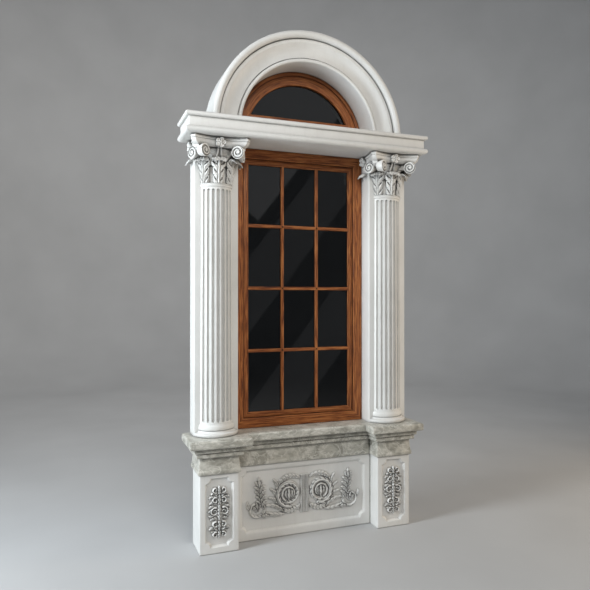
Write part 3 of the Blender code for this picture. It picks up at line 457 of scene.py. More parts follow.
def nearest_on(path, x, z):
    """For each point, its distance from the path, how far along that is, and on which side it lies."""
    best = np.full(x.shape, np.inf)
    along = np.zeros(x.shape)
    side = np.ones(x.shape)
    for i in range(len(path) - 1):
        a = path[i]
        run = path[i + 1] - a
        t = np.clip(((x - a[0]) * run[0] + (z - a[1]) * run[1]) / (run @ run), 0, 1)
        dx = x - a[0] - t * run[0]
        dz = z - a[1] - t * run[1]
        distance = dx * dx + dz * dz
        nearer = distance < best
        best = np.where(nearer, distance, best)
        along = np.where(nearer, (i + t) / (len(path) - 1), along)
        side = np.where(nearer, np.sign(run[0] * dz - run[1] * dx), side)
    return np.sqrt(best), along, side


def crown_of(kind, lobes, across, along, side, half, lobe):
    """Height of a strand at each point, as a share of its full rise."""
    if kind == "band":
        return (0.72 + 0.22 * np.cos(6 * math.pi * across)) * rising(np.minimum(along, 1 - along), 0, 0.004)
    if kind == "leaf":
        crown = 0.3 + 0.7 * np.sqrt(np.clip(1 - across ** 1.8, 0, 1))
        crown = crown - 0.42 * (1 - lobe) ** 2 * np.minimum(across * 1.8, 1)
        return crown - 0.24 * swell(across, 0.18, 0.1)
    crown = 0.3 + 0.7 * np.sqrt(np.clip(1 - across ** 2, 0, 1))
    crown = crown - 0.26 * rising(half, 0.008, 0.006) * swell(across, 0.45, 0.13)
    if lobes:
        crown = crown - np.where(side < 0, 0.55 * (1 - lobe) ** 1.5 * np.minimum(across * 2.2, 1), 0)
    return crown


def carve(height, x, z, strand, scale, middle):
    """Lays one strand over what is carved already, with a cut round its edge."""
    path, halves, rise, lobes, kind = strand
    path = path * scale + np.array([0, middle])
    halves = halves * scale
    reach = halves.max() * 1.3 + CARVING_GAP
    near = (x > path[:, 0].min() - reach) & (x < path[:, 0].max() + reach)
    near &= (z > path[:, 1].min() - reach) & (z < path[:, 1].max() + reach)
    distance, along, side = nearest_on(path, x[near], z[near])
    half = np.interp(along, np.linspace(0, 1, len(halves)), halves)
    lobe = np.ones(half.shape)
    if lobes:
        lean = 0.35 * distance / np.maximum(half, 1e-6) / lobes
        lobe = np.abs(np.sin(math.pi * lobes * (along - lean)))
        if kind == "leaf":
            half = half * (0.8 + 0.3 * lobe ** 0.7)
        else:
            half = half * np.where(side < 0, 0.66 + 0.54 * lobe ** 0.7, 1.0)
    across = distance / np.maximum(half, 1e-6)
    edge = np.clip((half - distance) / CARVING_EDGE, 0, 1)
    edge = np.sqrt(edge * (2 - edge))
    new = rise * CARVING_RISE * edge * crown_of(kind, lobes, across, along, side, half, lobe)
    cut = np.where(distance < half, 0.3, 0.08 + 0.92 * rising(distance, half, CARVING_GAP))
    height[near] = np.maximum(new, height[near] * cut)


def notched_distance(x, z, half, foot, head):
    """How far a point lies outside the panel's notched outline; negative inside it."""
    middle = (foot + head) / 2
    sides = np.maximum(np.abs(x) - half, np.abs(z - middle) - (head - foot) / 2)
    notch = PANEL_NOTCH - np.hypot(np.abs(x) - half, np.abs(z - middle) - (head - foot) / 2)
    return np.maximum(sides, notch)


def panel_moulding(distance):
    """Depth of the sunk panel: a small step, a hollow and a quirk, down to the flat floor."""
    share = rising(-distance, 0, PANEL_BEVEL)
    hollow = 0.84 * np.sin(rising(share, 0.1, 0.8) * math.pi / 2) ** 1.6
    return PANEL_RECESS * np.minimum(0.16 * rising(share, 0, 0.06) + hollow, 1)


def axis_lines(low, high, fine_low, fine_high, fine):
    """Grid lines from low to high: close together at the arrises, wide in the margins, fine on the panel."""
    edge = ARRIS * (1 - np.cos(turns(0, 90, 5)))
    margin_low = np.linspace(low + ARRIS, fine_low, max(int((fine_low - low) / COARSE_CELL), 2) + 1)
    inner = np.linspace(fine_low, fine_high, int((fine_high - fine_low) / fine) + 1)
    margin_high = np.linspace(fine_high, high - ARRIS, max(int((high - fine_high) / COARSE_CELL), 2) + 1)
    return np.concatenate([low + edge, margin_low[1:-1], inner, margin_high[1:-1], (high - edge)[::-1]])


def arris(distance):
    """How far a face falls back near its edge."""
    inside = np.clip(ARRIS - distance, 0, ARRIS)
    return ARRIS - np.sqrt(ARRIS ** 2 - inside ** 2)


def block_shell(x, y, z, half, height):
    """A closed block: its front is a grid of points, its back and sides are flat."""
    rows, columns = x.shape
    index = np.arange(rows * columns).reshape(rows, columns)
    quads = np.stack([index[:-1, :-1], index[1:, :-1], index[1:, 1:], index[:-1, 1:]], axis=-1)
    faces = quads.reshape(-1, 4).tolist()
    back = np.array([(-half, 0, 0), (half, 0, 0), (half, 0, height), (-half, 0, height)])
    low_left, low_right, high_right, high_left = range(x.size, x.size + 4)
    faces.append([low_left, low_right, high_right, high_left])
    faces.append(index[:, 0].tolist() + [low_right, low_left])
    faces.append(index[-1, :].tolist() + [high_right, low_right])
    faces.append(index[::-1, -1].tolist() + [high_left, high_right])
    faces.append(index[0, ::-1].tolist() + [low_left, high_left])
    return np.concatenate([np.stack([x, y, z], axis=-1).reshape(-1, 3), back]), faces


def relief_block(name, margins, clear, strands, size, lift, cell, material, place):
    """A block with its sunk panel and carving as one fine front, and flat sides."""
    low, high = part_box(name)
    side, foot, rim = margins
    half = (high.x - low.x) / 2
    panel_half = half - side
    head = PEDESTAL_HEIGHT - rim
    xs = axis_lines(-half, half, -panel_half - 0.002, panel_half + 0.002, cell)
    zs = axis_lines(0, PEDESTAL_HEIGHT, foot - 0.002, head + 0.002, cell)
    x, z = np.meshgrid(xs, zs, indexing="ij")
    scale = min(2 * (panel_half - clear[0]) / size[0], (head - foot - 2 * clear[1]) / size[1])
    carving = np.zeros(x.shape)
    for strand in strands:
        carve(carving, x, z, strand, scale, (foot + head) / 2 + lift)
    sunk = panel_moulding(notched_distance(x, z, panel_half, foot, head))
    edges = arris(half - np.abs(x)) + arris(np.minimum(z, PEDESTAL_HEIGHT - z))
    y = -(STONE_BACK - low.y) + sunk - carving + edges
    stone_piece(name + ".carved", block_shell(x, y, z, half, PEDESTAL_HEIGHT), material, name, place)


def pedestals(material):
    for word, side in SIDES.items():
        relief_block(
            "pedestal_" + word, PEDESTAL_PANEL, PEDESTAL_CARVING, arabesque(), PEDESTAL_CARVING_SIZE,
            0, PEDESTAL_CELL, material, (side * HALF_SPAN, STONE_BACK, 0),
        )


def apron(material):
    relief_block(
        "apron_panel", APRON_PANEL, APRON_CARVING, scrollwork(), APRON_CARVING_SIZE,
        APRON_CARVING_LIFT, APRON_CELL, material, (0, STONE_BACK, 0),
    )


# Marble


def rounded_step(z, height, out, radius):
    """A flat band with rounded lower and upper edges, as heights and projections."""
    low = arc((out - radius, z + radius), radius, -90, 0, 6)
    high = arc((out - radius, z + height - radius), radius, 0, 90, 6)
    return [(pz, px) for px, pz in low + high]


def marble_profile():
    bulge = BEAD_OUT - FRIEZE_FOOT_OUT
    profile = [(JOINT, FRIEZE_FOOT_OUT)]
    for x, z in arc((0, BEAD_HEIGHT / 2), BEAD_HEIGHT / 2, -86, 86, 12):
        profile.append((z, FRIEZE_FOOT_OUT + bulge * x / (BEAD_HEIGHT / 2)))
    for share in np.linspace(0, 1, 10):
        out = FRIEZE_HOLLOW_OUT + (FRIEZE_FOOT_OUT - FRIEZE_HOLLOW_OUT) * (1 - share) ** 2
        profile.append((BEAD_HEIGHT + 0.001 + (FRIEZE_HEIGHT - 0.002) * share, out))
    z = BEAD_HEIGHT + FRIEZE_HEIGHT
    for height, out in (LOWER_FILLET, UPPER_FILLET):
        profile += rounded_step(z, height, out, FILLET_ROUND)
        z += height
    total = SILL_TOP - PEDESTAL_HEIGHT
    return profile + rounded_step(z, total - z, SLAB_OUT, SLAB_ROUND)


def marble_caps(material):
    for word in SIDES:
        low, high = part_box("pedestal_" + word)
        half = (high.x - low.x) / 2
        front = low.y - STONE_BACK
        loops = []
        for z, out in marble_profile():
            loops.append(plan_loop(-half - out, half + out, front - out, 0, z, MARBLE_CORNER))
        place = ((low.x + high.x) / 2, STONE_BACK, PEDESTAL_HEIGHT)
        make_piece("marble_cap_" + word, loft(loops), material, ["pedestal_cap_" + word], place)


def marble_sill(material):
    """The sill's moulding; each end keeps the shape of the cap that it meets."""
    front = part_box("apron_panel")[0].y - STONE_BACK
    pedestal_low, pedestal_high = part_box("pedestal_right")
    cap_half = (pedestal_high.x - pedestal_low.x) / 2
    sill_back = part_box("window_sill")[1].y - STONE_BACK
    slab_foot = BEAD_HEIGHT + FRIEZE_HEIGHT + LOWER_FILLET[0] + UPPER_FILLET[0]
    loops = []
    for z, out in marble_profile():
        back = sill_back if z > slab_foot - JOINT and out > UPPER_FILLET[1] else 0
        end = HALF_SPAN - cap_half - out - 3 * JOINT
        inner = HALF_SPAN - cap_half - SLAB_OUT - 4 * JOINT
        half = [(end, front - out, z), (end, -JOINT, z), (inner, -JOINT, z), (inner, back, z)]
        loops.append(half + [(-x, y, z) for x, y, z in reversed(half)])
    place = (0, STONE_BACK, PEDESTAL_HEIGHT)
    make_piece("marble_sill", loft(loops), material, ["window_sill"], place)


# Pilasters and columns


def pilasters(material):
    for word in SIDES:
        low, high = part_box("pilaster_" + word)
        between = np.linspace(low.z + 0.1, high.z - PIER_EASE, 12)
        levels = [low.z, low.z + PIER_EASE, *between, high.z]
        loops = [plan_loop(low.x, high.x, low.y, high.y, z, PIER_CORNER) for z in levels]
        stone_piece("pier_" + word, loft(loops), material, "pilaster_" + word)


def column_back():
    return PILASTER_DEPTH - COLUMN_AXIS_DEPTH + JOINT


def segment_loop(radius, z):
    edge = math.degrees(math.acos(column_back() / radius))
    return [(x, y, z) for x, y in arc((0, 0), radius, -90 - edge, -90 + edge, 56)]


def column_bases(material):
    soft = 0.006
    rim = PLINTH_RADIUS - soft
    profile = arc((rim, JOINT + soft), soft, -90, 0, 5)
    profile += arc((rim, PLINTH_FACE - soft), soft, 0, 90, 5)
    rise = PLINTH_HEIGHT - PLINTH_FACE
    run = rim - PLINTH_SHOULDER_RADIUS
    for turn in turns(0, 90, 7)[1:]:
        profile.append((rim - run * math.sin(turn), PLINTH_FACE + rise * (1 - math.cos(turn))))
    half = TORUS_HEIGHT / 2
    bulge = TORUS_RADIUS - BASE_FILLET_RADIUS
    for x, z in arc((0, PLINTH_HEIGHT + half), half, -88, 88, 14):
        profile.append((BASE_FILLET_RADIUS + bulge * x / half, z))
    top = base_height() - JOINT
    profile += arc((BASE_FILLET_RADIUS - 0.002, top - 0.002), 0.002, 0, 90, 3)
    shell = loft([segment_loop(radius, z) for radius, z in profile])
    for word in SIDES:
        column_piece("round_base_", word, shell, material, "column_base_", SILL_TOP)


def base_height():
    return PLINTH_HEIGHT + TORUS_HEIGHT + BASE_FILLET_HEIGHT


def shaft_loop(radius, z, opening):
    """One level of the shaft; opening is the share of the flutes' full width and depth."""
    pitch = 2 * math.pi / FLUTES_IN_CIRCLE
    edge = math.acos(column_back() / radius)
    polar = [(-edge, radius)]
    last = -edge
    for k in range(-FLUTES_EACH_SIDE, FLUTES_EACH_SIDE + 1):
        half = pitch * FLUTE_SHARE / 2 * max(opening, 0.02)
        start = k * pitch - half
        polar += [(a, radius) for a in np.linspace(last, start, 5)[1:-1]]
        for across in np.sin(np.linspace(-math.pi / 2, math.pi / 2, 13)):
            hollow = FLUTE_DEPTH * opening * math.sqrt(max(1 - across * across, 0))
            polar.append((k * pitch + half * across, radius - hollow))
        last = k * pitch + half
    polar += [(a, radius) for a in np.linspace(last, edge, 5)[1:-1]]
    polar.append((edge, radius))
    return [(r * math.sin(a), -r * math.cos(a), z) for a, r in polar]


def shaft_levels(neck):
    """Heights up the fluted part, each with how far the flutes are open there."""
    end = SHAFT_FOOT_RADIUS * math.pi / FLUTES_IN_CIRCLE * FLUTE_SHARE
    foot = FLUTE_CLEAR_FOOT + end
    head = neck - FLUTE_CLEAR_HEAD - end
    levels = [(0.0, 0.0)]
    for turn in turns(0, 90, 9):
        levels.append((FLUTE_CLEAR_FOOT + end * (1 - math.cos(turn)), math.sin(turn)))
    levels += [(z, 1.0) for z in np.linspace(foot, head, 10)[1:-1]]
    for turn in turns(90, 0, 9):
        levels.append((neck - FLUTE_CLEAR_HEAD - end * (1 - math.cos(turn)), math.sin(turn)))
    return levels + [(neck - 0.004, 0.0)]


def column_shafts(material):
    height = CAPITAL_FOOT - SILL_TOP - base_height()
    neck = height - ASTRAGAL_HEIGHT
    loops = []
    for z, opening in shaft_levels(neck):
        radius = SHAFT_FOOT_RADIUS + (SHAFT_NECK_RADIUS - SHAFT_FOOT_RADIUS) * z / height
        loops.append(shaft_loop(radius, z, opening))
    half = ASTRAGAL_HEIGHT * 0.36
    rings = [(0.001, neck)]
    for x, z in arc((0, neck + half), half, -80, 80, 10):
        rings.append((0.001 + ASTRAGAL_OUT * x / half, z))
    rings += [(0.004, neck + 2 * half + 0.001), (0.004, height - JOINT)]
    loops += [shaft_loop(SHAFT_NECK_RADIUS + out, z, 0.0) for out, z in rings]
    for word in SIDES:
        column_piece("fluted_shaft_", word, loft(loops), material, "column_shaft_", SILL_TOP + base_height())


# Capital


def heights_and_radii(length, steps):
    """Radius, height and heading at equal steps up a leaf's middle, which rolls forward at its head."""
    along = np.linspace(0, length, steps)[:, None]
    lean = math.atan2(LEAF_HEAD_RADIUS - LEAF_FOOT_RADIUS, LEAF_STRAIGHT)
    heading = lean + np.clip((along - LEAF_STRAIGHT) / LEAF_CURL, 0, None)
    step = length / (steps - 1)
    out = np.cumsum(np.sin(heading) * step, axis=0) - np.sin(heading[0]) * step
    up = np.cumsum(np.cos(heading) * step, axis=0) - np.cos(heading[0]) * step
    return LEAF_FOOT_RADIUS + out, up, heading


def acanthus(bearing):
    """A lobed leaf with ribs and drilled eyes that hugs the bell; its wide head rolls forward and down."""
    steps = 81
    v = np.linspace(0, 1, steps)[:, None]
    u = np.linspace(-1, 1, 57)[None, :]
    length = LEAF_STRAIGHT + LEAF_CURL * math.radians(LEAF_CURL_TURN)
    radius, height, heading = heights_and_radii(length, steps)
    side = np.abs(u)
    phase = LEAF_LOBES * (v + 0.24 * (1 - side))
    fold = np.abs(np.sin(math.pi * phase))
    lobe = np.abs(np.sin(math.pi * LEAF_LOBES * v))
    teeth = np.abs(np.sin(3 * math.pi * LEAF_LOBES * v))
    body = 1 - 0.8 * rising(v, 0.68, 0.1)
    outline = 0.96 + body * (0.18 * lobe ** 0.6 + 0.05 * teeth - 0.16)
    half = LEAF_HALF_WIDTH * np.interp(v, LEAF_LEVELS, LEAF_WIDTHS) * outline
    spread = rising(side, 0.12, 0.28)
    relief = 0.007 * (fold ** 0.6 - 0.6) * spread
    relief = relief - 0.022 * swell(side, 0.66, 0.13) * (1 - fold) ** 3
    relief = relief - 0.016 * swell(side, 0.36, 0.08) * np.clip(np.cos(2 * math.pi * phase), 0, 1) ** 6
    fan = np.arctan2((phase % 1 - 0.1) * 0.9, np.maximum(side - 0.14, 0.001))
    rise = 0.013 * (1 - u ** 2) - 0.007 * side ** 8 + body * relief + 0.003 * np.cos(9 * fan) * spread
    rise = rise + 0.004 * swell(u, 0, 0.08) - 0.006 * swell(side, 0.19, 0.06)
    thick = 0.003 + LEAF_THICKNESS * (1 - 0.75 * rising(v, 0.5, 0.5)) * (1 - u ** 4)
    height = height - LEAF_DROOP * u ** 2 * rising(v, 0.5, 0.3)
    front = leaf_points(bearing, radius, height, heading, half * u, rise)
    back = leaf_points(bearing, radius, height, heading, half * u, rise - thick)[:, ::-2]
    return loft(np.concatenate([front, back], axis=1))


def leaf_points(bearing, radius, height, heading, across, rise):
    reach = radius + rise * np.cos(heading)
    angle = math.radians(bearing) + across / radius
    level = np.maximum(height - rise * np.sin(heading), JOINT)
    return np.stack([reach * np.sin(angle), -reach * np.cos(angle), level], axis=-1)


def on_bell(radius, height, angle):
    return (radius * math.sin(angle), -radius * math.cos(angle), height)


def soft_square(flutes=0.0):
    """A square with rounded corners, from -1 to 1 both ways; its outline can be fluted."""
    loop = []
    for a in turns(0, 360, 29)[:-1]:
        across = math.copysign(abs(math.cos(a)) ** 0.6, math.cos(a)) * (1 + flutes * math.cos(7 * a))
        upward = math.copysign(abs(math.sin(a)) ** 0.6, math.sin(a)) * (1 + flutes * math.cos(7 * a))
        loop.append((across, upward))
    return loop


def stalk(bearing):
    """A fluted stalk between two leaves, which leans out towards the volutes."""
    head = CAPITAL_HEIGHT - ABACUS_HEIGHT + 0.004
    turn = math.radians(bearing)
    ring_share, ring_width, ring_out = STALK_RING
    loops = []
    for share in np.linspace(0, 1, 14):
        radius = LEAF_FOOT_RADIUS - 0.002 + STALK_LEAN * share ** 3
        ring = 1 + ring_out * swell(share, ring_share, ring_width)
        half = STALK_HALF_WIDTH * (0.8 + 0.8 * share ** 2) * ring
        level = head * (STALK_FOOT_SHARE + STALK_RISE_SHARE * share)
        depth = STALK_THICKNESS + 0.004 * share
        loops.append([
            on_bell(radius + depth * upward, level, turn + half * across / radius)
            for across, upward in soft_square(flutes=0.07)
        ])
    return loft(loops)


def corner_arm(hand):
    """The arm behind a pair of volutes, from the bell out to the abacus's horn."""
    lip = CAPITAL_HEIGHT - ABACUS_HEIGHT
    turn = math.radians(hand * math.degrees(math.atan2(ABACUS_HALF_WIDTH, ABACUS_FRONT)))
    loops = []
    for share in np.linspace(0, 1, 12):
        radius = ARM_START + ARM_LENGTH * share
        low = lip - np.interp(radius, ARM_RADII, ARM_DROPS)
        high = lip + ARM_ABOVE_LIP
        half = np.interp(radius, ARM_RADII, ARM_HALF_WIDTHS)
        loops.append([
            on_bell(radius, (low + high) / 2 + (high - low) / 2 * upward, turn + half * across / radius)
            for across, upward in soft_square()
        ])
    return loft(loops)


def facing(x, y, z, bearing):
    """A frame whose own Z looks out level from the capital; bearing 0 is the front."""
    turned = Matrix.Rotation(math.radians(bearing), 4, "Z") @ Matrix.Rotation(math.pi / 2, 4, "X")
    return Matrix.Translation((x, y, z)) @ turned


def face_relief(radius, root, reach, height):
    """A closed disc with a carved face: reach and height hold one row per ring, from the rim inwards."""
    turn = np.linspace(0, 2 * math.pi, reach.shape[1] + 1)[:-1]
    rings = np.stack([reach * np.cos(turn), reach * np.sin(turn), height], axis=-1)
    neck = radius * 0.8
    foot = np.stack([neck * np.cos(turn), neck * np.sin(turn), np.full(turn.shape, -root)], axis=-1)
    return loft(np.concatenate([foot[None], rings]))


def volute(hand, x, y, bearing):
    """A ribbon wound about an eye, on the face of a disc that stands on the capital's corner."""
    turn = np.linspace(0, 1, 81)[None, :-1]
    share = np.linspace(1, 0.04, 40)[:, None]
    winding = turn if hand * bearing < 0 else 1 - turn
    wind = (share * VOLUTE_TURNS - hand * winding) % 1
    ribbon = rising(np.abs(np.sin(math.pi * wind)), 0.5, 0.35)
    eye = np.clip((0.24 - share) / 0.04, 0, 1)
    rim = rising(share, 0.9, 0.02)
    dome = VOLUTE_RIM * (0.65 + 0.35 * (1 - share))
    carved = dome - VOLUTE_GROOVE * (1 - np.maximum(ribbon, np.maximum(eye, rim)))
    carved = np.where(share > 0.985, dome - 0.5 * VOLUTE_GROOVE, carved) + 0.0 * turn
    place = facing(hand * x, y, CAPITAL_HEIGHT - VOLUTE_DROP, hand * bearing)
    return moved(face_relief(VOLUTE_RADIUS, VOLUTE_ROOT, VOLUTE_RADIUS * share + 0.0 * turn, carved), place)


def rosette(place):
    """A flower with five lobed petals about a button."""
    turn = np.linspace(0, 2 * math.pi, 101)[None, :-1]
    share = np.linspace(1, 0.04, 26)[:, None]
    petal = np.abs(np.cos(2.5 * turn))
    reach = ROSETTE_RADIUS * share * (0.8 + 0.32 * petal ** 0.7)
    hollow = 0.55 + 0.3 * petal ** 0.8 - 0.25 * swell(share, 0.62, 0.16) * petal ** 3
    button = 0.95 * np.sqrt(np.clip(1 - (share / 0.3) ** 2, 0, 1))
    height = ROSETTE_RISE * np.maximum(hollow * (1 - 0.8 * rising(share, 0.86, 0.14) ** 2), button)
    return moved(face_relief(ROSETTE_RADIUS, ROSETTE_RISE, reach, height), place)


def cord(hand):
    """One of the two cords that rise from the middle leaf to the flower."""
    loops = []
    for share in np.linspace(0, 1, 16):
        x = hand * (0.01 + 0.016 * (1 - share) ** 2)
        y = -(CORD_FRONT + CORD_LEAN * share ** 1.5)
        level = CORD_FOOT + CORD_RISE * share
        thick = CORD_RADIUS * (1 + 0.1 * math.cos(share * 40))
        loops.append([(px, py, level) for px, py in arc((x, y), thick, 0, 330, 11)])
    return loft(loops)


def abacus_outline(inset, backs, z):
    """The abacus in plan: hollow front and sides that meet in blunt horns, and where each side ends."""
    width = ABACUS_HALF_WIDTH - inset
    front = ABACUS_FRONT - inset
    half = [(-width + ABACUS_HOLLOW * 0.8, backs[0])]
    for share in np.linspace(0.5, 1, 13):
        hollow = ABACUS_HOLLOW * 4 * share * (1 - share)
        half.append((-width + hollow, front * (1 - 2 * share) + ABACUS_HORN * (2 * share - 1)))
    outline = list(half)
    for share in np.linspace(0, 1, 25):
        hollow = ABACUS_HOLLOW * 4 * share * (1 - share)
        outline.append(((2 * share - 1) * (width - ABACUS_HORN), -front + hollow))
    outline += [(-x, y) for x, y in reversed(half[1:])]
    outline.append((-half[0][0], backs[1]))
    return [(x, y, z) for x, y in outline]


def abacus(backs):
    """A hollow below, a fillet, a quirk and a rounded edge above."""
    foot = CAPITAL_HEIGHT - ABACUS_HEIGHT
    profile = []
    for a in turns(0, 90, 10):
        inset = ABACUS_UNDERCUT * (1 - 0.82 * math.sin(a) ** 2)
        profile.append((ABACUS_HOLLOW_SHARE * (1 - math.cos(a)), inset))
    loops = []
    for share, inset in profile + list(ABACUS_STEPS):
        level = min(foot + ABACUS_HEIGHT * share, CAPITAL_HEIGHT - JOINT)
        loops.append(abacus_outline(inset, backs, level))
    return loft(loops)


def bell():
    lip = CAPITAL_HEIGHT - ABACUS_HEIGHT
    loops = []
    for share in np.linspace(0, 1.04, 26):
        out = np.interp(share, BELL_SHARES, BELL_FLARES)
        ring = arc((0, 0), BELL_FOOT_RADIUS + (BELL_LIP_RADIUS - BELL_FOOT_RADIUS) * out, 0, 355, 71)
        loops.append([(x, min(y, COLUMN_AXIS_DEPTH / 2), max(lip * share, JOINT)) for x, y in ring])
    return loft(loops)


def pier_head():
    half = PILASTER_WIDTH / 2
    front = COLUMN_AXIS_DEPTH - PILASTER_DEPTH
    levels = (JOINT, CAPITAL_HEIGHT - ABACUS_HEIGHT / 2)
    return loft([plan_loop(-half, half, front, COLUMN_AXIS_DEPTH, z, PIER_CORNER) for z in levels])


def capitals(material):
    front = ABACUS_FRONT - ABACUS_HOLLOW
    flank = ABACUS_HALF_WIDTH - ABACUS_HOLLOW
    level = CAPITAL_HEIGHT - ROSETTE_DROP
    for word, side in SIDES.items():
        backs = (COLUMN_AXIS_DEPTH, ABACUS_INNER_BACK)[::-side]
        shells = [pier_head(), bell(), abacus(backs), cord(-1), cord(1), rosette(facing(0, -front, level, 0))]
        shells += [rosette(facing(hand * flank, 0, level, hand * 90)) for hand in (1, -1)]
        shells += [acanthus(bearing) for bearing in LEAF_BEARINGS]
        shells += [stalk(bearing) for bearing in STALK_BEARINGS]
        for hand in (1, -1):
            shells.append(corner_arm(hand))
            shells += [volute(hand, *where) for where in (VOLUTE_FRONT, VOLUTE_SIDE)]
        column_piece("leafed_capital_", word, joined(shells), material, "capital_", CAPITAL_FOOT)


# Lintel and arch


def lintel(material):
    low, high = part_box("entablature")
    height = high.z - low.z
    roll = height - LINTEL_FILLET_HEIGHT - LINTEL_FASCIA_HEIGHT
    profile = [(0.0, LINTEL_ROLL_IN)]
    for x, z in arc((0, 0), 1, -90, 62, 14):
        profile.append((0.001 + (z + 1) / 2 * (roll - 0.001) * 1.05, LINTEL_ROLL_IN * (1 - x)))
    profile.append((roll + 0.001, LINTEL_FASCIA_IN))
    fascia_top = height - LINTEL_FILLET_HEIGHT
    profile.append((fascia_top, LINTEL_FASCIA_IN))
    profile += [(z, -out) for z, out in rounded_step(fascia_top, LINTEL_FILLET_HEIGHT, 0, LINTEL_ROUND)]
    half = (high.x - low.x) / 2
    front = low.y - STONE_BACK
    loops = []
    for z, inset in profile:
        loops.append(plan_loop(inset - half, half - inset, front + inset, 0, z, LINTEL_CORNER))
    stone_piece("lintel", loft(loops), material, "entablature", (0, STONE_BACK, low.z))


def arch_section():
    """Radii and depths of the arch's moulding, from its outside inwards."""
    inner = HALF_SPAN - PILASTER_WIDTH / 2
    outer = inner + ARCH_BAND
    roll = ARCH_ROLL / 2
    section = [(outer, 0)]
    for x, depth in arc((0, 0), 1, 0, 180, 16):
        section.append((outer - roll + roll * x, ARCH_DEPTH - roll + roll * depth))
    groove = outer - ARCH_ROLL
    section += [(groove, ARCH_GROOVE_DEPTH), (groove - 0.006, ARCH_GROOVE_DEPTH)]
    step = groove - ARCH_STEP
    section += arc((groove - 0.011, ARCH_STEP_DEPTH - 0.005), 0.005, 0, 90, 4)
    section += arc((step + 0.003, ARCH_STEP_DEPTH - 0.003), 0.003, 90, 180, 3)
    bead = inner + ARCH_INNER_GROOVE
    edge = bead - ARCH_INNER_GROOVE_WIDTH
    drop = ARCH_STEP_DEPTH - ARCH_COVE_DEPTH
    for share in np.linspace(0.06, 1, 16):
        depth = ARCH_COVE_DEPTH + drop * (1 - share) ** 3 + ARCH_COVE_LIP * share ** 3
        section.append((step + (bead - step) * share, depth))
    section += [(bead, ARCH_INNER_GROOVE_DEPTH), (edge, ARCH_INNER_GROOVE_DEPTH)]
    middle = (edge + inner) / 2
    wide = (edge - inner) / 2
    for x, depth in arc((0, 0), 1, 0, 180, 12):
        section.append((middle + wide * x, ARCH_BEAD_DEPTH - wide + wide * depth))
    section.append((inner, 0))
    return section


def arch(material):
    section = arch_section()
    starts = [math.asin((ARCH_CENTRE_DROP + JOINT) / radius) for radius, depth in section]
    loops = []
    for i in range(ARCH_SEGMENTS + 1):
        loop = []
        for (radius, depth), start in zip(section, starts):
            angle = start + (math.pi - 2 * start) * i / ARCH_SEGMENTS
            loop.append((radius * math.cos(angle), -depth, radius * math.sin(angle) - ARCH_CENTRE_DROP))
        loops.append(loop)
    stone_piece("arch", loft(loops), material, "archivolt", (0, STONE_BACK, LINTEL_TOP))


# Timber


def member(loops, start, along):
    """A length of wood through equal loops, with its map; along says how far each loop is from the first."""
    loops = np.asarray(loops, float)
    points, faces = loft(loops)
    count, size = loops.shape[:2]
    edges = np.linalg.norm(np.roll(loops[0], -1, axis=0) - loops[0], axis=1)
    around = np.concatenate([[0], np.cumsum(edges)])
    grain = []
    for i in range(count - 1):
        for j in range(size):
            for row, column in ((i, j), (i, j + 1), (i + 1, j + 1), (i + 1, j)):
                grain.append((start + along[row], start * 3.7 + around[column]))
    for row in (0, count - 1):
        grain += [(start + along[row] + 0.02 * j / size, start * 3.7 + around[j]) for j in range(size)]
    return points, faces, grain


def wooden_piece(name, members, material, nodes, place):
    shell = joined([(points, faces) for points, faces, spots in members])
    grain = [spot for points, faces, spots in members for spot in spots]
    make_piece(name, shell, material, nodes, place, grain)


def straight_member(start, end, section, order):
    """A member between two mitred ends: start and end give each point of the section its place."""
    first = [start(*point) for point in section]
    last = [end(*point) for point in section]
    length = math.dist(first[0], last[0])
    return member([first, last], order * 0.83, [0.0, length])


def framed_members(half, foot, head, section):
    """The two stiles and two rails of a frame with mitred corners; the section gives inset and y."""
    def corner(way, z, up):
        return lambda inset, y: (way * (half - inset), y, z + up * inset)

    low_left, low_right = corner(-1, foot, 1), corner(1, foot, 1)
    high_left, high_right = corner(-1, head, -1), corner(1, head, -1)
    pairs = ((low_left, high_left), (low_right, high_right), (low_left, low_right), (high_left, high_right))
    return [straight_member(start, end, section, order) for order, (start, end) in enumerate(pairs)]


def moulded_edge(inset, front, size):
    """The rounded inner edge of a member, from its face to its inner side."""
    edge = [(inset - size - 0.002, front), (inset - size - 0.0015, front + 0.0015)]
    for a in turns(0, 90, 7):
        edge.append((inset - size + size * math.sin(a), front + size * (1 - math.cos(a))))
    return edge


def window_frame(material):
    half = HALF_SPAN - PILASTER_WIDTH / 2 - JOINT
    section = [(0, -TIMBER_FRONT), (0.0025, -TIMBER_FRONT)]
    section += moulded_edge(FRAME_WIDTH, -TIMBER_FRONT, FRAME_MOULDING)
    section += [(FRAME_WIDTH, TIMBER_BEHIND), (0, TIMBER_BEHIND)]
    members = framed_members(half, SILL_TOP + JOINT, SOFFIT - JOINT, section)
    wooden_piece("timber_frame", members, material, ["window_frame"], (0, STONE_BACK, 0))


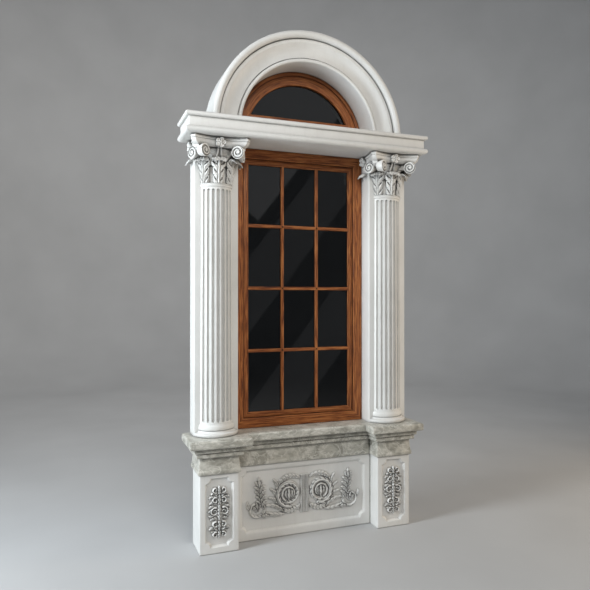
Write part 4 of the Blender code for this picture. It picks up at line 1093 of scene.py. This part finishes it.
def glazing_bars(half, foot, head, front):
    """The upright bars, then the level ones, each with both ends sunk into the sash."""
    seat = front + BAR_DEPTH
    edge = moulded_edge(BAR_WIDTH / 2, front, SASH_MOULDING)[2:]
    bar = [(-across, y) for across, y in reversed(edge)] + edge
    bar += [(BAR_WIDTH / 2, seat), (-BAR_WIDTH / 2, seat)]
    wide = (2 * (half - SASH_WIDTH) - (LIGHTS_ACROSS - 1) * BAR_WIDTH) / LIGHTS_ACROSS
    tall = (head - foot - 2 * SASH_WIDTH - (LIGHTS_HIGH - 1) * BAR_WIDTH) / LIGHTS_HIGH
    sunk = SASH_WIDTH - 0.004
    members = []
    for column in range(1, LIGHTS_ACROSS):
        x = -half + SASH_WIDTH + column * wide + (column - 0.5) * BAR_WIDTH
        ends = [lambda across, y, x=x, z=z: (x + across, y, z) for z in (foot + sunk, head - sunk)]
        members.append(straight_member(*ends, bar, 4 + column))
    for row in range(1, LIGHTS_HIGH):
        z = foot + SASH_WIDTH + row * tall + (row - 0.5) * BAR_WIDTH
        ends = [lambda across, y, x=x, z=z: (x, y, z + across) for x in (sunk - half, half - sunk)]
        members.append(straight_member(*ends, bar, 7 + row))
    return members


def window_sash(material):
    inset = FRAME_WIDTH + 2 * JOINT
    half = HALF_SPAN - PILASTER_WIDTH / 2 - inset
    foot = SILL_TOP + inset
    head = SOFFIT - inset
    front = -TIMBER_FRONT + SASH_SET_BACK
    seat = front + BAR_DEPTH
    section = [(0, front + 0.003), (0.001, front + 0.001), (0.003, front)]
    section += moulded_edge(SASH_WIDTH, front, SASH_MOULDING)
    section += [(SASH_WIDTH, seat), (SASH_WIDTH - GLASS_HOLD, seat)]
    section += [(SASH_WIDTH - GLASS_HOLD, front + SASH_DEPTH), (0, front + SASH_DEPTH)]
    members = framed_members(half, foot, head, section) + glazing_bars(half, foot, head, front)
    wooden_piece("timber_sash", members, material, ["window_sash"], (0, STONE_BACK, 0))


def fanlight_section(outer):
    """The fanlight frame's section: radius on the half round, height on the rail, and y."""
    opening = outer - FANLIGHT_RING
    hold = opening + GLASS_HOLD
    face = -TIMBER_FRONT
    low = face + FANLIGHT_STEP_BACK
    seat = face + SASH_SET_BACK + BAR_DEPTH
    step = ((0, face), (0.0025, face + 0.0015), (0.0035, face + 0.005))
    quirk = ((0.004, low + 0.004), (0.007, low + 0.004), (0.0072, low))
    section = [(outer, JOINT, face)]
    for inset, y in step + quirk:
        section.append((outer - FANLIGHT_STEP - inset, FANLIGHT_STEP + inset, y))
    for a in turns(0, 90, 7):
        inset = SASH_MOULDING * (1 - math.sin(a))
        section.append((opening + inset, FANLIGHT_RAIL - inset, low + SASH_MOULDING * (1 - math.cos(a))))
    section += [(opening, FANLIGHT_RAIL, seat), (hold, FANLIGHT_RAIL - GLASS_HOLD, seat)]
    return section + [(hold, FANLIGHT_RAIL - GLASS_HOLD, TIMBER_BEHIND), (outer, JOINT, TIMBER_BEHIND)]


def fanlight_timber(material):
    """The half-round frame and its bottom rail, mitred together at both springings."""
    outer = HALF_SPAN - PILASTER_WIDTH / 2 - JOINT
    section = fanlight_section(outer)
    starts = [math.asin((ARCH_CENTRE_DROP + foot) / radius) for radius, foot, y in section]
    loops = []
    along = []
    for share in np.linspace(0, 1, ARCH_SEGMENTS + 1):
        loop = []
        for (radius, foot, y), start in zip(section, starts):
            angle = start + (math.pi - 2 * start) * share
            loop.append((radius * math.cos(angle), y, radius * math.sin(angle) - ARCH_CENTRE_DROP))
        loops.append(loop)
        along.append(share * math.pi * (outer - FANLIGHT_RING / 2))
    ring = member(loops, 9.3, along)
    reaches = [radius * math.cos(start) for (radius, foot, y), start in zip(section, starts)]
    ends = [[(way * x, y, foot) for x, (radius, foot, y) in zip(reaches, section)] for way in (-1, 1)]
    rail = member(ends, 11.9, [0.0, 2 * outer])
    wooden_piece("fanlight_timber", [ring, rail], material, ["fanlight_frame"], (0, STONE_BACK, LINTEL_TOP))


# Materials


def opaque(colour):
    return (*colour, 1.0) if isinstance(colour, tuple) else colour


class Shading:
    """Builds the nodes of one material."""

    def __init__(self, name):
        self.material = bpy.data.materials.new(name)
        self.material.use_nodes = True
        self.tree = self.material.node_tree
        self.shader = self.tree.nodes["Principled BSDF"]
        place = self.node("ShaderNodeTexCoord", {})
        self.place = place.outputs["Object"]
        self.uv = place.outputs["UV"]

    def feed(self, node, inputs):
        """Gives each input of a node its value, or links it to another node's output."""
        for key, value in inputs.items():
            if isinstance(value, bpy.types.NodeSocket):
                self.tree.links.new(value, node.inputs[key])
            else:
                node.inputs[key].default_value = value

    def node(self, kind, inputs, **settings):
        made = self.tree.nodes.new(kind)
        for key, value in settings.items():
            setattr(made, key, value)
        self.feed(made, inputs)
        return made

    def stretched(self, source, factors):
        return self.node("ShaderNodeMapping", {"Vector": source, "Scale": factors}).outputs["Vector"]

    def noise(self, source, scale, detail=4.0, roughness=0.5, distortion=0.0):
        inputs = {"Vector": source, "Scale": scale, "Detail": detail}
        inputs |= {"Roughness": roughness, "Distortion": distortion}
        return self.node("ShaderNodeTexNoise", inputs).outputs["Fac"]

    def ramp(self, value, stops):
        made = self.node("ShaderNodeValToRGB", {"Fac": value})
        band = made.color_ramp
        while len(band.elements) < len(stops):
            band.elements.new(0.5)
        for element, (position, colour) in zip(band.elements, stops):
            element.position = position
            element.color = opaque(colour if isinstance(colour, tuple) else (colour, colour, colour))
        return made.outputs["Color"]

    def mix(self, share, first, second):
        inputs = {0: share, 6: opaque(first), 7: opaque(second)}
        return self.node("ShaderNodeMix", inputs, data_type="RGBA").outputs[2]

    def stained(self, base, value, stops, colour):
        """The base with a colour laid over it, as strongly as a ramp of the value says."""
        return self.mix(self.ramp(value, stops), base, colour)

    def product(self, first, second):
        return self.node("ShaderNodeMath", {0: first, 1: second}, operation="MULTIPLY").outputs[0]

    def hollow(self, distance, inside=False):
        """Nearly 1 on open faces and lower in hollows; inside out, lower along sharp edges."""
        inputs = {"Distance": distance}
        return self.node("ShaderNodeAmbientOcclusion", inputs, samples=6, inside=inside).outputs["AO"]

    def bump(self, height, strength, distance, below=None):
        inputs = {"Height": height, "Strength": strength, "Distance": distance}
        if below is not None:
            inputs["Normal"] = below
        return self.node("ShaderNodeBump", inputs).outputs["Normal"]

    def finish(self, inputs):
        self.feed(self.shader, inputs)
        return self.material


def painted_stone(name, hollow_shade_strength, reach, open_at):
    """Off-white paint on stone, with soft mottling, faint runs of rain, dark grey in the hollows that is
    painted shade with some grime, and a painted highlight along sharp edges.
    """
    work = Shading(name)
    cloud = work.noise(work.place, 2.3, 5.0, 0.55)
    speck = work.noise(work.place, 95.0, 3.0, 0.6)
    runs = work.noise(work.stretched(work.place, (26.0, 26.0, 1.2)), 1.0, 4.0, 0.6)
    base = work.ramp(cloud, [(0.3, (0.66, 0.648, 0.62)), (0.7, (0.76, 0.75, 0.725))])
    base = work.stained(base, runs, [(0.52, 0.0), (0.78, 0.2)], (0.52, 0.5, 0.46))
    base = work.stained(base, speck, [(0.58, 0.0), (0.74, 0.2)], (0.52, 0.505, 0.47))
    # Painted shade: dark grey laid into the hollows by ambient occlusion, broken into patches like grime.
    painted_hollow_shade = work.ramp(work.hollow(reach), [(0.4, 1.0), (open_at, 0.0)])
    patchy_hollow_shade = work.product(painted_hollow_shade, work.ramp(work.noise(work.place, 14.0, 4.0), [(0.2, 0.65), (0.7, 1.0)]))
    base = work.mix(work.product(patchy_hollow_shade, hollow_shade_strength), base, (0.085, 0.082, 0.074))
    # Painted highlight: lighter paint along sharp edges, broken up by the specks.
    edges = work.ramp(work.hollow(0.006, inside=True), [(0.35, 0.6), (0.7, 0.0)])
    painted_edge_highlight = work.product(edges, work.ramp(speck, [(0.4, 0.2), (0.6, 1.0)]))
    base = work.mix(painted_edge_highlight, base, (0.84, 0.83, 0.81))
    rough = work.ramp(work.noise(work.place, 22.0, 5.0), [(0.3, 0.36), (0.7, 0.56)])
    brushed = work.noise(work.stretched(work.place, (70.0, 70.0, 22.0)), 1.0, 3.0)
    normal = work.bump(speck, 0.12, 0.0008, work.bump(brushed, 0.1, 0.0015))
    return work.finish({"Base Color": base, "Roughness": rough, "Normal": normal, "Specular IOR Level": 0.45})


def marble():
    """Grey-beige marble: clouds as wide as a hand, pale broken veins and dark freckles under a honed face,
    and painted shade in its hollows.
    """
    work = Shading("Grey-beige marble")
    slant = work.stretched(work.place, (1.0, 1.0, 1.5))
    cloud = work.noise(slant, 6.0, 5.0, 0.58, 1.0)
    patch = work.noise(slant, 13.0, 4.0, 0.55, 0.6)
    vein = work.noise(slant, 4.0, 6.0, 0.58, 1.8)
    fleck = work.noise(slant, 42.0, 4.0, 0.58, 0.3)
    tones = [(0.34, (0.255, 0.246, 0.21)), (0.5, (0.385, 0.37, 0.32)), (0.66, (0.54, 0.518, 0.455))]
    base = work.ramp(cloud, tones)
    base = work.stained(base, patch, [(0.46, 0.0), (0.64, 0.75)], (0.6, 0.58, 0.52))
    base = work.stained(base, fleck, [(0.56, 0.0), (0.72, 0.5)], (0.19, 0.18, 0.15))
    base = work.stained(base, vein, [(0.475, 0.0), (0.5, 0.8), (0.525, 0.0)], (0.68, 0.66, 0.6))
    # Painted shade: near-black laid into the hollows by ambient occlusion.
    base = work.stained(base, work.hollow(0.035), [(0.35, 0.85), (0.88, 0.0)], (0.06, 0.055, 0.045))
    rough = work.ramp(fleck, [(0.3, 0.26), (0.7, 0.4)])
    return work.finish({"Base Color": base, "Roughness": rough, "Normal": work.bump(fleck, 0.05, 0.001)})


def timber():
    """Reddish brown varnished wood with its grain along each member, from the piece's own map, and painted
    shade in its corners.
    """
    work = Shading("Varnished timber")
    bands = work.noise(work.stretched(work.uv, (5.0, 62.0, 1.0)), 1.0, 5.0, 0.6, 0.5)
    fibres = work.noise(work.stretched(work.uv, (9.0, 420.0, 1.0)), 1.0, 3.0, 0.6)
    tone = work.noise(work.uv, 1.1, 2.0)
    tones = [(0.36, (0.085, 0.02, 0.005)), (0.49, (0.3, 0.092, 0.024)), (0.63, (0.52, 0.2, 0.06))]
    base = work.ramp(bands, tones)
    base = work.stained(base, fibres, [(0.45, 0.0), (0.7, 0.45)], (0.15, 0.04, 0.011))
    base = work.stained(base, tone, [(0.35, 0.0), (0.65, 0.35)], (0.2, 0.058, 0.016))
    # Painted shade: near-black laid into corners and recesses by ambient occlusion.
    base = work.stained(base, work.hollow(0.018), [(0.35, 0.95), (0.88, 0.0)], (0.014, 0.005, 0.003))
    rough = work.ramp(fibres, [(0.3, 0.38), (0.7, 0.56)])
    normal = work.bump(fibres, 0.16, 0.0006)
    return work.finish({"Base Color": base, "Roughness": rough, "Normal": normal, "Specular IOR Level": 0.32})


def glass():
    """Glass tinted near black as painted shade, see-through, with the slight waviness of a drawn sheet."""
    work = Shading("Glass darkened as painted shade")
    normal = work.bump(work.noise(work.place, 3.0, 2.0), 0.02, 0.002)
    rough = work.ramp(work.noise(work.place, 9.0, 4.0), [(0.4, 0.02), (0.8, 0.06)])
    # Painted shade: the near-black tint darkens everything seen through the glass.
    work.feed(work.shader, {"Base Color": (0.008, 0.009, 0.01, 1.0), "Transmission Weight": 1.0, "IOR": 1.5})
    return work.finish({"Roughness": rough, "Normal": normal})


# Stage


def stage_floor():
    """A round pale floor that sweeps up to a wall on every side, outside the lights and the cameras."""
    profile = [(0.01, 0.0), (3.0, 0.0), (6.0, 0.0), (FLOOR_RADIUS, 0.0)]
    profile += arc((FLOOR_RADIUS, SWEEP_RADIUS), SWEEP_RADIUS, -90, 0, 16)[1:]
    profile.append((FLOOR_RADIUS + SWEEP_RADIUS, WALL_HEIGHT))
    turn = np.linspace(0, 2 * math.pi, 97)[:-1]
    rings = [[(r * math.cos(a), r * math.sin(a), z - FLOOR_GAP) for a in turn] for r, z in profile]
    points, faces = loft(rings, caps=False)
    faces.append(list(range(len(turn)))[::-1])
    mesh = bpy.data.meshes.new("floor")
    mesh.from_pydata(points.tolist(), [], faces)
    mesh.shade_smooth()
    work = Shading("Pale floor")
    tone = work.ramp(work.noise(work.place, 0.8, 3.0), [(0.3, 0.44), (0.7, 0.48)])
    mesh.materials.append(work.finish({"Base Color": tone, "Roughness": 0.75}))
    floor = bpy.data.objects.new("floor", mesh)
    bpy.context.scene.collection.objects.link(floor)


def soft_light(name, place, aim, size, power, colour):
    data = bpy.data.lights.new(name, "AREA")
    data.shape = "RECTANGLE"
    data.size, data.size_y = size
    data.energy = power
    data.color = colour
    light = bpy.data.objects.new(name, data)
    light.location = place
    light.rotation_euler = (Vector(aim) - Vector(place)).to_track_quat("-Z", "Y").to_euler()
    light.visible_camera = False
    bpy.context.scene.collection.objects.link(light)
    return light


def studio():
    world = bpy.data.worlds.new("Studio")
    world.use_nodes = True
    background = world.node_tree.nodes["Background"]
    background.inputs["Color"].default_value = (0.88, 0.93, 1.0, 1.0)
    background.inputs["Strength"].default_value = 0.2
    bpy.context.scene.world = world
    soft_light("Left window", (-5.2, -1.0, 3.0), (0, 0, 2.1), (1.4, 4.2), 360, (0.86, 0.94, 1.0))
    soft_light("Right lamp", (5.4, -1.8, 2.2), (0.2, 0, 2.0), (1.8, 4.0), 110, (1.0, 0.82, 0.6))
    soft_light("High front", (-0.9, -5.8, 6.0), (0, 0, 1.9), (3.0, 2.0), 200, (1.0, 0.98, 0.94))
    for name, x, z, size, power in GLASS_CARDS:
        card = soft_light(name, (x, CARD_DISTANCE, z), (x, 0, z), size, power, (0.97, 0.98, 1.0))
        card.rotation_euler.rotate_axis("Z", math.radians(CARD_LEAN))
    soft_light("Backdrop light", (0, 3.2, 8.5), (0, 13.0, 3.5), (9.0, 1.5), 420, (1.0, 0.99, 0.97))
    bpy.context.scene.view_settings.view_transform = "Standard"


def camera():
    data = bpy.data.cameras.new("Camera")
    data.sensor_width = 36.0
    data.lens = CAMERA_LENS
    eye = bpy.data.objects.new("Camera", data)
    eye.location = CAMERA_PLACE
    eye.rotation_euler = (math.pi / 2 + CAMERA_PITCH, 0.0, -CAMERA_YAW)
    bpy.context.scene.collection.objects.link(eye)
    bpy.context.scene.camera = eye


def dress(node, material):
    """Gives a kept CAD node its finish."""
    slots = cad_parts[node].data.materials
    slots.clear()
    slots.append(material)


def main():
    camera()
    stage_floor()
    studio()
    # The three stones differ in how strongly shade is painted into their hollows and how far it reaches.
    plain = painted_stone("Painted stone", 0.7, 0.035, 0.86)
    carved = painted_stone("Painted carved stone", 1.0, 0.016, 0.88)
    leafed = painted_stone("Painted leafed stone", 1.0, 0.055, 0.76)
    veined = marble()
    wood = timber()
    pane = glass()
    pedestals(carved)
    apron(carved)
    marble_caps(veined)
    marble_sill(veined)
    pilasters(plain)
    column_bases(plain)
    column_shafts(plain)
    lintel(plain)
    arch(plain)
    capitals(leafed)
    window_frame(wood)
    window_sash(wood)
    fanlight_timber(wood)
    for node in ("window_glass", "fanlight_glass"):
        dress(node, pane)


main()
